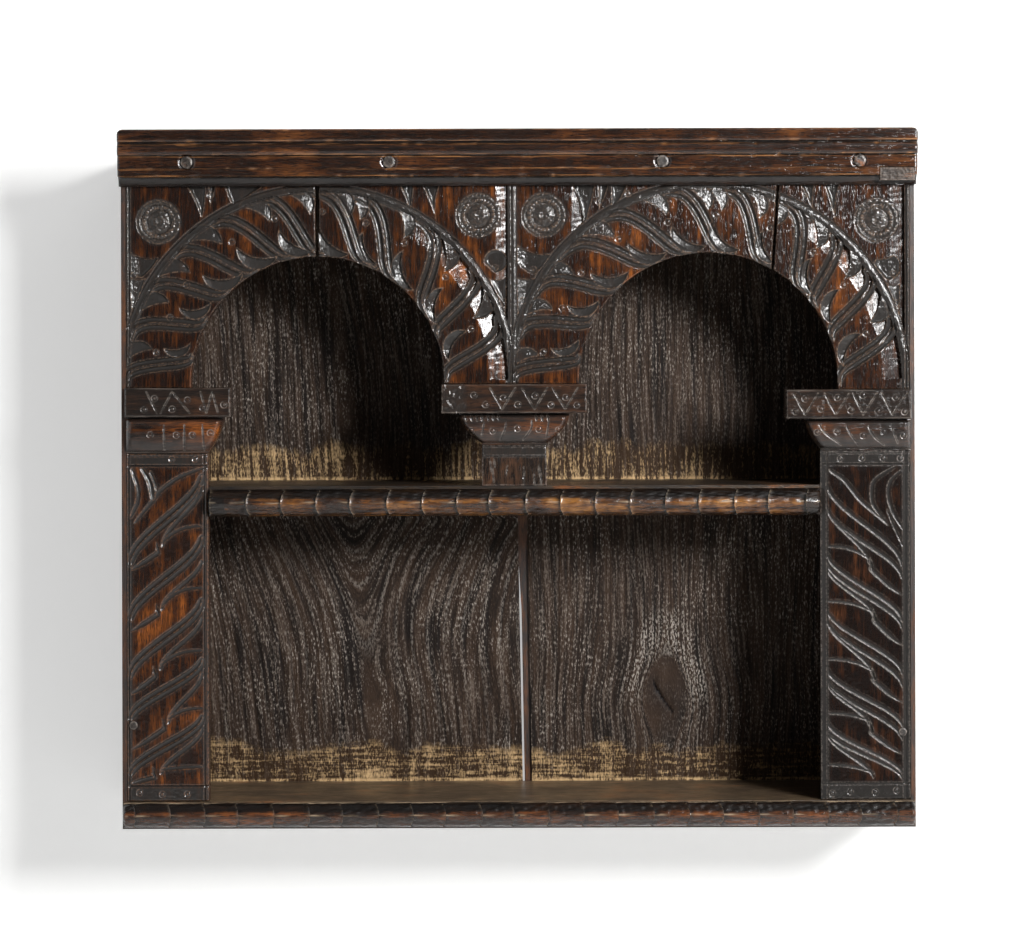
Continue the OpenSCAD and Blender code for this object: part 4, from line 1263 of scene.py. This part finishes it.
# %% Capitals
QUIRK, CORNER_TURN = 1.3, 6.0
BULGE_AT, BULGE_FALL, HIGHLIGHT_AT = 0.3, 0.71, 0.36
CAPITALS = {
    "left_capital": {
        "below": "left_pilaster", "wear_and_highlight": 1.0,
        "lines": [[(-301.5, 345), (-301.5, 323)], [(-284, 345), (-284.6, 322)],
                  [(-268.7, 345), (-267.5, 323)]],
        "rings": [(-313, 336.5), (-291, 336.3), (-277.2, 336.3), (-261.8, 338)]},
    "centre_capital": {
        "below": "centre_stub_pilaster", "wear_and_highlight": 0.3,
        "lines": [[(-10.2, 346), (-11.5, 340), (-15.5, 331)], [(11.5, 348), (11.1, 341), (4, 331)],
                  [(-29, 346), (-31, 335)], [(26, 347), (24, 333)]],
        "rings": [(-40.2, 339), (-21.7, 339), (-0.5, 341), (17.6, 340.4), (34.6, 340)]},
    "right_capital": {
        "below": "right_pilaster", "wear_and_highlight": 0.45,
        "lines": [[(256, 343.8), (261.3, 336), (275, 326)],
                  [(279.5, 342), (283.4, 334), (289.5, 325.8)],
                  [(297.8, 342), (303, 333), (312, 325.7)],
                  [(317.4, 343.5), (319.8, 336), (323.5, 327)]],
        "rings": [(254.5, 337.2), (271.5, 337.5), (293.6, 334), (311, 337.4), (328, 334)]},
}
TOP_NICKS = (-45, -40, -35.5, -31, -26, -21.5, -17, 15, 20, 25)


def capital(name, plan):
    """Rounded capital from u = 0 under the impost to u = 1 at the foot. It stands forward as
    sin(90 min(1, 9u)) times sqrt(1 - ((u - 0.3) / 0.71)^2) below u = 0.3, and spreads as
    1 - u^1.8."""
    low, high = span(name)
    foot_low, foot_high = span(plan["below"])
    share, z = grid(np.linspace(0, 1, cells(low[0], high[0], 0.48)),
                    np.linspace(low[2], high[2], cells(low[2], high[2], 0.42)))
    body_top, body_h = high[2] - QUIRK, high[2] - low[2] - 2 * QUIRK
    u = np.clip((body_top - z) / body_h, 0, 1)
    spread = 1 - u ** 1.8
    left = foot_low[0] + (low[0] - foot_low[0]) * spread
    right = foot_high[0] + (high[0] - foot_high[0]) * spread
    x = left + share * (right - left)
    swell = 0.35 + 0.65 * np.sin(np.pi / 2 * np.clip(9 * u, 0, 1))
    swell *= np.sqrt(np.clip(1 - (np.clip(u - BULGE_AT, 0, None) / BULGE_FALL) ** 2, 0, None))
    body = (z < body_top) & (z > low[2] + QUIRK)
    face = Face(x, z)
    for points in plan["lines"]:
        flute(face, curve_through(points, 80), 1.4, 0.65, thin=0.4)
    for rx, rz in plan["rings"]:
        punched_ring(face, rx, rz)
    if name == "centre_capital":
        for nick in TOP_NICKS:
            path = curve_through([(nick, body_top), (nick + 0.8, body_top - 5)], 30)
            flute(face, path, 1.8, 1.0)
    forward = (FACE_Y - low[1]) * np.where(body, swell, swell * 0.4)
    turned = 1 - np.clip(1 - np.minimum(x - left, right - x) / CORNER_TURN, 0, 1) ** 2.4
    seed = int(low[0]) + 900
    relief = face.depth + 0.16 * ripple(face.x, face.z, 12, seed) + 0.1
    y = FACE_Y - forward * (0.35 + 0.65 * turned) + relief.reshape(x.shape) * (forward > 0.5)
    y = np.clip(y, low[1], FACE_Y + 0.3)
    # The capital takes the dark cut colour except a warm band at HIGHLIGHT_AT on the most proud
    # part of the bulge, which is partly wear and partly a painted highlight; the plan sets its
    # strength for each capital.
    band_wear_and_highlight = plan["wear_and_highlight"] * line_of(u.ravel() - HIGHLIGHT_AT, 0.26)
    cut = np.maximum(face.cut, np.where(body.ravel(), 0.9 - 0.9 * band_wear_and_highlight, 0.9))
    arris = np.maximum(face.arris, 0.5 * line_of(face.z - low[2] - QUIRK, 0.5))
    mesh = closed_mesh(name + "_carved", x, y, z, high[1], cut, arris)
    add_piece(mesh, capital_oak, name)


for block, plan in CAPITALS.items():
    capital(block, plan)

# %% [markdown]
# ## Cornice
# The cornice is one moulding, so it is one profile carried along a line. The profile is read off
# from the top: fascia, quirk, reed, groove, band, fillet and a hollow below. Chips along the
# arrises and grooves round the pegs are then taken out of it, as on the other carved pieces.

# %% Cornice profile
CORNICE_CORNER_R, CORNICE_END_R = 5.0, 1.6
CORNICE_POINTS = 560
PEG_XS, PEG_Z, PEG_R = (-281.0, -109.0, 123.4, 291.0), 568.0, 5.2
FLATS_BELOW_REED = [(556.25, 13.4, 562.0, 13.8, 7), (562.25, 15.2, 572.5, 15.2, 13),
                    (572.75, 14, 574, 14, 3)]
FLATS_ABOVE_REED = [(583.2, 15.6, 585.3, 15.6, 4), (585.5, 17.4, 586.6, 18, 3),
                    (587.6, 18, 594.6, 18, 9), (595.5, 17.4, 596, 16.4, 2)]


def cornice_profile():
    """Heights and depths in front of the face, from the foot up. The hollow is a quarter wave, the
    reed bows by a square, and a flat runs from a height and depth to another in some points."""
    below, above = ([np.linspace((z0, depth0), (z1, depth1), count)
                     for z0, depth0, z1, depth1, count in flats]
                    for flats in (FLATS_BELOW_REED, FLATS_ABOVE_REED))
    t = np.pi / 2 * np.linspace(1, 0, 12)[:, None]
    hollow = np.hstack([556.25 - 8.25 * (1 - np.cos(t)), 5 + 6.4 * (1 - np.sin(t))])
    s = np.linspace(-1, 1, 13)[:, None]
    reed = np.hstack([578.5 + 4.5 * s, 18 - 1.4 * s ** 2])
    return np.concatenate([hollow, *below, reed, *above])


def dents(x, z, count, lines, seed):
    """Chips at random places along some heights, each a small bell."""
    rng = np.random.default_rng(seed)
    total = np.zeros_like(x)
    for _ in range(count):
        place, height = rng.uniform(x.min(), x.max()), rng.choice(lines)
        wide, deep = rng.uniform(1.2, 4.0), rng.uniform(0.2, 0.9)
        near = np.flatnonzero(abs(x - place) < 3 * wide)
        bell = line_of(x[near] - place, wide) * line_of(z[near] - height, 0.9)
        total[near] = np.maximum(total[near], deep * bell)
    return total


# %% Cornice
CORNICE_ARRISES = (556.2, 562.2, 572.6, 574.4, 582.8, 586.0, 595.5)
CORNICE_SHADED_HOLLOWS = ((0, 556), (572.6, 574.2), (583, 585.4))
CHIP_COUNT = 170
PATCH_SEAT = 2.0


def cornice():
    """The cornice, with rounded top corners and a sinking for the patch."""
    low, high = span("cornice_moulding")
    profile = cornice_profile()
    share, z = grid(np.linspace(-1, 1, CORNICE_POINTS), profile[:, 0])
    x = share * (high[0] - ease(high[2] - z, CORNICE_CORNER_R))
    face = Face(x, z)
    for peg_x in PEG_XS:
        away = np.hypot(face.x - peg_x, face.z - PEG_Z)
        ring = 1.3 * line_of(away - PEG_R - 0.5, 0.9)
        face.depth = np.maximum(face.depth, ring + 1.0 * (away < PEG_R))
        face.cut = np.maximum(face.cut, line_of(away - PEG_R, 1.2))
    chips = dents(face.x, face.z, CHIP_COUNT, CORNICE_ARRISES, 41)
    face.arris = 0.9 * chips
    for height in CORNICE_ARRISES:
        soft = 0.5 + 0.5 * np.clip(ripple(face.x * 0.25, face.z, 40, int(height)), -0.7, 1)
        face.arris = np.maximum(face.arris, soft * line_of(face.z - height, 0.45))
    # Painted shade: the hollow below the cornice and its quirks take the black cut colour, and the
    # rest a trace of it.
    for quirk_low, quirk_high in CORNICE_SHADED_HOLLOWS:
        in_shaded_hollow = (face.z > quirk_low) & (face.z < quirk_high)
        face.cut = np.maximum(face.cut, np.where(in_shaded_hollow, 0.9, 0.1))
    streaks = 0.05 * ripple(face.x * 0.04, face.z, 3.2, 43)
    streaks += 0.06 * ripple(face.x, face.z * 2, 24, 44)
    face.depth += chips + ease(high[0] - abs(face.x), CORNICE_END_R)
    face.depth += np.clip(streaks + 0.15, THINNEST_CUT, None)
    patch_low, patch_high = span("cornice_patch")
    in_patch = ((face.x > patch_low[0] - 0.6) & (face.x < patch_high[0])
                & (face.z > patch_low[2] - PATCH_SEAT) & (face.z < patch_high[2] + 0.4))
    y = np.tile(FACE_Y - profile[:, 1], len(x)) + face.depth
    y = np.where(in_patch, np.maximum(y, patch_low[1] + PATCH_SEAT), y)
    y = np.minimum(y, FACE_Y - 0.5)
    mesh = closed_mesh("cornice_run", x, y, z, high[1], face.cut, face.arris)
    add_piece(mesh, carved_level, "cornice_moulding")


def carve_patch(face, low, high):
    """Rough end grain: pits and ridges at two sizes."""
    face.depth += 0.45 * np.clip(ripple(face.x, face.z, 5, 51) + 0.6, 0, None)
    face.depth += 0.25 * np.clip(ripple(face.x, face.z, 2.2, 52) + 0.5, 0, None)
    face.cut = np.clip(face.depth - 0.4, 0, 0.8)


cornice()
carved_block("cornice_patch", span("cornice_patch")[0][1], 0.45, carve_patch, worn_oak,
             rounding=0.8, waves=0.05)

# %% [markdown]
# ## Scale mouldings
# The shelf edge and the foot are half round mouldings cut into overlapping scales. Along each
# scale the half round shrinks, and at the next nose it jumps back to full size. The nose is a
# bowed line, so the whole pattern is shifted along by the cosine of the angle round the moulding.

# %% Scale mouldings
SCALES = {
    "shelf_edge_moulding": {"first": -262.5, "last": 243.2, "count": 17, "nose": -1, "seed": 61,
                            "finish": moulding_oak},
    "base_moulding": {"first": -326.4, "last": 321.5, "count": 22, "nose": 1, "seed": 62,
                      "finish": foot_edge_oak}}
SCALE_STEPS, ROUND_STEPS = 26, 44
NOSE_STEPS = (0, 0.012, 0.03, 0.055)
TAPER, BOW, LIP = 1.5, 4.2, 0.8
FLAT_DEPTH, SIZE_SPREAD, PLACE_SPREAD = 1.1, 0.35, 1.6
SCALE_END_R, FADE_W, WAXED_END_W = 3.4, 8.0, 14


def scale_moulding(name, first, last, count, nose, seed, finish):
    """Half round with scales between its first and last bound. Its radius falls from the nose as
    TAPER f^1.2 for f from 0 to 1, less so near the flat back; the flats above and below the middle
    line fall in as sin(2 angle)^2."""
    low, high = span(name)
    radius = (high[2] - low[2]) / 2
    axis_z, flat_y = (low[2] + high[2]) / 2, low[1] + radius
    rng = np.random.default_rng(seed)
    jitter = rng.uniform(-PLACE_SPREAD, PLACE_SPREAD, count + 1)
    bounds = np.concatenate([[low[0]], np.linspace(first, last, count + 1) + jitter, [high[0]]])
    f = np.concatenate([NOSE_STEPS, np.linspace(0.09, 1, SCALE_STEPS)])
    along_f = f if nose < 0 else 1 - f[::-1]
    stations = bounds[:-1, None] + (bounds[1:] - bounds[:-1])[:, None] * along_f
    tail = np.tile(along_f if nose < 0 else 1 - along_f, count + 2)
    angle = np.linspace(-np.pi / 2, np.pi / 2, ROUND_STEPS)
    turn, place = np.meshgrid(angle, stations.ravel())
    tail = np.tile(tail[:, None], (1, ROUND_STEPS))
    to_end = np.minimum(place - low[0], high[0] - place)
    fade = np.clip(to_end / FADE_W, 0, 1)
    swing = nose * BOW * fade * (np.cos(turn) - 1.0)
    x = np.clip(place + swing * np.clip(np.cos(turn) * 4, 0, 1), low[0], high[0])
    size = np.repeat(rng.uniform(0, SIZE_SPREAD, count + 2), len(f))[:, None]
    drop = (TAPER * tail ** 1.2 + size + LIP * (1 - np.exp(-tail / 0.03))) * np.cos(turn) ** 0.6
    flats = FLAT_DEPTH * np.sin(2 * turn) ** 2
    waves = 0.16 * ripple(x, turn * radius, 7, seed + 1) + 0.16
    ends = ease(np.minimum(x - low[0], high[0] - x), SCALE_END_R)
    r = radius - (drop + flats + waves + ends) * np.clip(np.cos(turn) * 6, 0, 1)
    y = flat_y - r * np.cos(turn)
    z = axis_z + r * np.sin(turn)
    # Painted shade: the top of each scale, the tail just before the next nose and the underside
    # take the dark cut colour.
    cut = np.clip((tail - 0.85) / 0.15, 0, 0.7) + np.clip((np.sin(turn) - 0.25) / 0.3, 0, 1)
    cut += 0.5 * np.clip((-0.75 - np.sin(turn)) / 0.2, 0, 1)
    cut += 0.9 * (to_end < WAXED_END_W) * (nose < 0)
    # Painted glint: the line along the keel at mid-height, strongest towards each tail, takes the
    # pale arris colour.
    keel_glint = line_of(turn * radius - 0.6, 0.8)
    middle = keel_glint * (np.clip((tail - 0.52) / 0.30, 0, 1) + 0.5 * np.clip(1 - 5 * tail, 0, 1))
    arris = np.maximum(0.30 * np.exp(-tail / 0.025), 0.95 * middle)
    if nose > 0:
        arris = np.maximum(arris, np.clip((turn - 1.45) / 0.05, 0, 1))
    cut = np.clip(cut, 0, 1)
    mesh = closed_mesh(name.replace("moulding", "scales"), x, y, z, high[1], cut, arris)
    add_piece(mesh, finish, name)


for moulding, plan in SCALES.items():
    scale_moulding(moulding, **plan)

# %% [markdown]
# ## Pegs
# Riven oak pegs, driven in and pared off a hair proud. Each is a rod with a domed and slightly
# many-sided end: rows of places round an axis, closed by a point in front and a face behind.

# %% Pegs
PEG_SIDES = 40
PEG_TIP = 0.35
PEG_ROWS = [(0.55, 0.05), (0.86, 0.12), (1.0, 0.55)]
PEG_ARRISES = np.append(0.2, np.repeat([0.1, 0.8, 0.2, 0.0], PEG_SIDES))


def pegs(name, finish):
    """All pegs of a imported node, which are read off as clusters along x. A row is a share of the
    radius and how far behind the front it lies."""
    points = vertices_of(nodes[name].data)
    xs = np.unique(points[:, 0].round(2))
    angle = np.linspace(0, 2 * np.pi, PEG_SIDES, endpoint=False)
    corners, faces = [], []
    for number, cluster in enumerate(np.split(xs, np.flatnonzero(np.diff(xs) > 20) + 1)):
        mine = points[abs(points[:, 0] - cluster.mean()) < 10]
        low, high = mine.min(0), mine.max(0)
        middle, radius = (low + high) / 2, (high[0] - low[0]) / 2
        radius = radius * (1 - 0.02 * (1 + np.cos(7 * angle + number)))
        rings = len(corners) + 1 + np.arange(4 * PEG_SIDES).reshape(4, PEG_SIDES)
        ahead = np.roll(rings, -1, axis=1)
        fan = [np.full(PEG_SIDES, len(corners)), rings[0], ahead[0]]
        sides = [rings[:-1].ravel(), rings[1:].ravel(), ahead[1:].ravel(), ahead[:-1].ravel()]
        faces += np.transpose(fan).tolist() + np.transpose(sides).tolist()
        faces.append(rings[-1][::-1].tolist())
        corners.append([middle[0], low[1] + PEG_TIP, middle[2]])
        for share, back in [*PEG_ROWS, (1.0, high[1] - low[1])]:
            corners += np.transpose([middle[0] + share * radius * np.cos(angle),
                                     np.full(PEG_SIDES, low[1] + back),
                                     middle[2] + share * radius * np.sin(angle)]).tolist()
    mesh = bpy.data.meshes.new(name + "_domed")
    mesh.from_pydata((np.array(corners) * MM).tolist(), [], faces)
    carry(mesh, "cut", np.full(len(corners), 0.3))
    carry(mesh, "arris", np.tile(PEG_ARRISES, number + 1))
    add_piece(mesh, finish, name)


pegs("cornice_pegs", peg_oak)
pegs("pilaster_pegs", peg_oak)

# %% [markdown]
# ## Back boards
# The back is two coarse boards, and their grain is what one sees in the open tiers. Grain is a
# map of one number, which counts the growth rings across a board: it makes nested V shapes with
# rounded feet on the left board, and flows round a knot on the right one. The number goes into
# the mesh, cuts fine ridges there, and steers the streaks of the finish.

# %% Back board finish
BAND_H = 0.060
BANDS = [{"foot": 0.292, "strokes": 0.62, "smears": 0.04,
          "parts": [(-0.225, 0.060, -0.008), (0.065, 0.045, -0.026)]},
         {"foot": 0.023, "strokes": 0.26, "smears": 0.44,
          "parts": [(-0.160, 0.150, -0.014), (0.085, 0.070, -0.016)]}]
PART_FADE, OUTSIDE = 0.04, -0.040
CREAM = (0.62, 0.42, 0.215)
AMBER = (0.040, 0.020, 0.008)
DUST = (0.38, 0.34, 0.30)
OLD_DARK, OLD_LIGHT = (0.012, 0.0082, 0.0066), (0.048, 0.029, 0.019)
SILVER, GAP_BLACK = (0.150, 0.118, 0.095), (0.0055, 0.0042, 0.0035)
CUT_BLACK = (0.003, 0.002, 0.002)
DUST_GLOSS = 0.12
DRIFT = 16.0
GRIT_SCALE = 780.0
LINE_PITCH = 2.6


def back_finish(name):
    """Dusty oak whose streaks follow the ring number, broken by grit. The attribute heart says how
    strongly every LINE_PITCH rings show as a pale line, and a pale band is rubbed at each foot.
    A band's parts each have a middle, a reach to either side and a strength there."""
    wood = Finish(name)
    around = wood.node("TexCoord", pick="Object")
    sideways, height = wood.axis(around, "X"), wood.axis(around, "Z")
    rings, heart = wood.attribute("rings"), wood.attribute("heart")

    def noise_at(x, y, z, detail):
        return wood.noise(wood.node("CombineXYZ", {0: x, 1: y, 2: z}), 1.0, detail, 0.6)

    def streaks(across, up, detail, offset):
        return noise_at(rings * across, sideways * DRIFT + offset, height * up, detail)

    broad = streaks(0.6, 9.0, 4.0, 0.0)
    fine = streaks(1.9, 24.0, 5.0, 7.0)
    stroke = streaks(1.15, 26.0, 4.0, 27.0)
    smear = noise_at(sideways * 34.0, 3.0, height * 330.0, 5.0)
    squeezed = wood.node("Mapping", {"Vector": around, "Scale": (1.0, 1.0, 0.40)})
    grit = wood.noise(squeezed, GRIT_SCALE, 2.0)
    cloud = wood.noise(around, 13.0, 4.0)
    broken = fine * 0.62 + grit * 0.38
    calm = heart.ramp(-1.0, 0.0, 0.2, 1.0)
    colour = wood.mix(broad.ramp(0.38, 0.62), OLD_DARK, OLD_LIGHT)
    colour = wood.mix(broken.ramp(0.505, 0.590) * (calm * 0.58), colour, SILVER)
    colour = wood.mix(broken.ramp(0.475, 0.405) * (calm * 0.50), colour, GAP_BLACK)
    specks = grit.ramp(0.57, 0.65) * calm * fine.ramp(0.44, 0.56)
    specks = specks * cloud.ramp(0.40, 0.58, 0.15, 1.0)
    line = wood.math("COSINE", rings * (2 * np.pi / LINE_PITCH)).ramp(0.78, 1.0)
    line = line * heart * grit.ramp(0.42, 0.60, 0.0, 1.0)
    flecks = grit.ramp(0.49, 0.58) * heart.ramp(0.45, 0.95) * fine.ramp(0.43, 0.52)
    colour = wood.mix(specks.larger(line).larger(flecks) * 0.85, colour, DUST)
    colour = wood.mix(wood.attribute("cut"), colour, CUT_BLACK)
    for number, band in enumerate(BANDS):
        over = height - band["foot"]
        wave = noise_at(sideways * 17.0, 40.0 + number, 0.0, 6.0)
        room = (wave * 1.2 - 0.08) * BAND_H - over
        reach = room.ramp(-0.002, 0.007) * over.ramp(-0.003, 0.0)
        colour = wood.mix(reach * 0.70, colour, AMBER)
        mottle = stroke * band["strokes"] + smear * band["smears"]
        mottle = mottle + grit * (1 - band["strokes"] - band["smears"])
        mottle = mottle + room.ramp(0.012, 0.0, 0.0, 0.035) + cloud.ramp(0.36, 0.60, -0.045, 0.025)
        left, right = (abs(sideways - middle).ramp(wide + PART_FADE, wide, OUTSIDE, strength)
                       for middle, wide, strength in band["parts"])
        mottle = mottle + left.larger(right)
        foot_line = over.ramp(0.0036, 0.0016) * mottle.ramp(0.42, 0.52)
        rubbed = mottle.ramp(0.480, 0.620).larger(foot_line)
        colour = wood.mix(reach * rubbed * 0.9, colour, CREAM)
    wood.shader.inputs["Specular IOR Level"].default_value = DUST_GLOSS
    return wood.dress(colour, fine.ramp(0.3, 0.7, 0.66, 0.42), broken, 0.8, 0.0014)


# %% Back boards
RING_PITCH = 3.4
GRAIN_SIZE, WANDER = 26, 1.1
HEART_X, HEART_TOP, HEART_LOW, HEART_LEAN = -136.0, 284.0, 120.0, 0.08
HEART_DEPTH, HEART_WIDE, HEART_ROUND, HEART_REACH = 44.0, 0.6, 13.0, 140.0
KNOT_X, KNOT_Z, KNOT_W, KNOT_H = 131.0, 95.0, 20.0, 27.0
CRACK = [(120, 112), (127, 98), (139, 82)]
RIDGE_DEPTH, BOARD_WAVE, BOARD_DROP = 0.30, 0.14, 0.3


def beside_heart(x, z):
    """Distance to the right of the left board's heart line, which leans a little."""
    return x - HEART_X + HEART_LEAN * (z - HEART_LOW)


def left_rings(x, z):
    """Ring number of the left board: the distance from the heart line, rounded near it, plus a
    depth that grows down to HEART_LOW as a sine and fades to the left, so that the grain makes
    nested V shapes. To the right of the heart, below the shelf, the rings are wider."""
    wander = WANDER * ripple(x * 0.25, z * 0.10, GRAIN_SIZE, 71)
    sunk = smooth_step(np.clip((HEART_TOP - z) / 30, 0, 1))
    fall = np.clip((HEART_TOP - z) / (HEART_TOP - HEART_LOW), 0, 1)
    side = beside_heart(x, z)
    side = np.where(side > 0, side * (1 - (1 - HEART_WIDE) * sunk), side)
    depth = HEART_DEPTH * np.sin(np.pi / 2 * fall)
    depth = depth * (1 - 0.75 * smooth_step(np.clip(-side / HEART_REACH, 0, 1)))
    return (np.hypot(side, HEART_ROUND) + depth) / RING_PITCH + wander


def left_heart(x, z):
    """How strongly the lines of the left board show: most in the V shapes below the shelf, and
    below nought where the wood is plain."""
    plain = line_of(beside_heart(x, z), 13) * line_of(z - 85, 45)
    lower = np.clip((280 - z) / 10, 0, 1)
    rightward = 0.25 + 0.75 * np.clip((x + 205) / 40, 0, 1)
    upward = 0.35 + 0.65 * np.clip((z - 105) / 50, 0, 1)
    return 0.10 + 0.36 * lower * rightward * upward - 0.9 * plain


def right_rings(x, z):
    """Ring number of the right board: straight grain that parts round a knot, as the root of
    u^2 - w^2 exp(-v^2), where u is the distance across from the knot and v the height over it."""
    u = (x - KNOT_X) / RING_PITCH
    v = (z - KNOT_Z) / KNOT_H
    wander = WANDER * ripple(x * 0.25, z * 0.10, GRAIN_SIZE, 72)
    parted = u ** 2 - (KNOT_W / RING_PITCH) ** 2 * np.exp(-v ** 2)
    return np.sign(u) * np.sqrt(np.clip(parted, 0, None)) + wander * np.clip(parted / 9 + 0.3, 0, 1)


def right_heart(x, z):
    """How strongly the lines of the right board show: most in a ring round the knot, and below
    nought inside it."""
    away = np.hypot((x - KNOT_X) / KNOT_W, (z - KNOT_Z) / (1.5 * KNOT_H))
    upper = 0.7 + 0.5 * np.clip((z - KNOT_Z) / KNOT_H, -0.6, 0.6)
    return 0.10 + upper * line_of(away - 1.5, 0.6) - 1.1 * np.clip((1.05 - away) / 0.2, 0, 1)


def back_board(name, rings_of, heart_of, crack=None):
    """Board with ridged grain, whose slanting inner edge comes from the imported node's corners."""
    low, high = span(name)
    points = vertices_of(nodes[name].data)
    share, z = grid(np.linspace(0, 1, cells(low[0], high[0], 1.25)),
                    np.linspace(low[2], high[2], cells(low[2], high[2], 3.0)))
    rise = (z - low[2]) / (high[2] - low[2])
    foot, head = (points[abs(points[:, 2] - level) < 0.1][:, 0] for level in (low[2], high[2]))
    left = foot.min() + (head.min() - foot.min()) * rise
    right = foot.max() + (head.max() - foot.max()) * rise
    x = left + share * (right - left)
    ridge = 0.5 + 0.5 * np.cos(np.pi * rings_of(x, z))
    face = Face(x, z)
    if crack:
        flute(face, curve_through(crack, 60), 2.6, 2.4, thin=0.2)
    relief = RIDGE_DEPTH * ridge ** 2 + BOARD_WAVE * ripple(x, z * 0.2, 16, 73) + BOARD_DROP
    depth = np.clip(relief.ravel() + face.depth, THINNEST_CUT, None)
    mesh = closed_mesh(name + "_grained", x, low[1] + depth, z, high[1], face.cut, face.arris)
    every = vertices_of(mesh)
    carry(mesh, "rings", rings_of(every[:, 0], every[:, 2]))
    carry(mesh, "heart", heart_of(every[:, 0], every[:, 2]))
    add_piece(mesh, back_oak, name)


back_oak = back_finish("back_oak")
back_board("back_board_left", left_rings, left_heart)
back_board("back_board_right", right_rings, right_heart, CRACK)

# %% [markdown]
# ## Carry-over finishes
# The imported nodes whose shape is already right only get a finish.

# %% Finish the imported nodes
PLAIN = {"top_board": board_level, "left_side_board": board_upright,
         "right_side_board": board_upright, "bottom_board": foot_oak,
         "middle_shelf": board_level, "back_filler_strip": board_upright}
for name, node in nodes.items():
    node.data.materials.clear()
    node.data.materials.append(PLAIN.get(name, nail_iron))
print(len(nodes), "nodes have a finish")
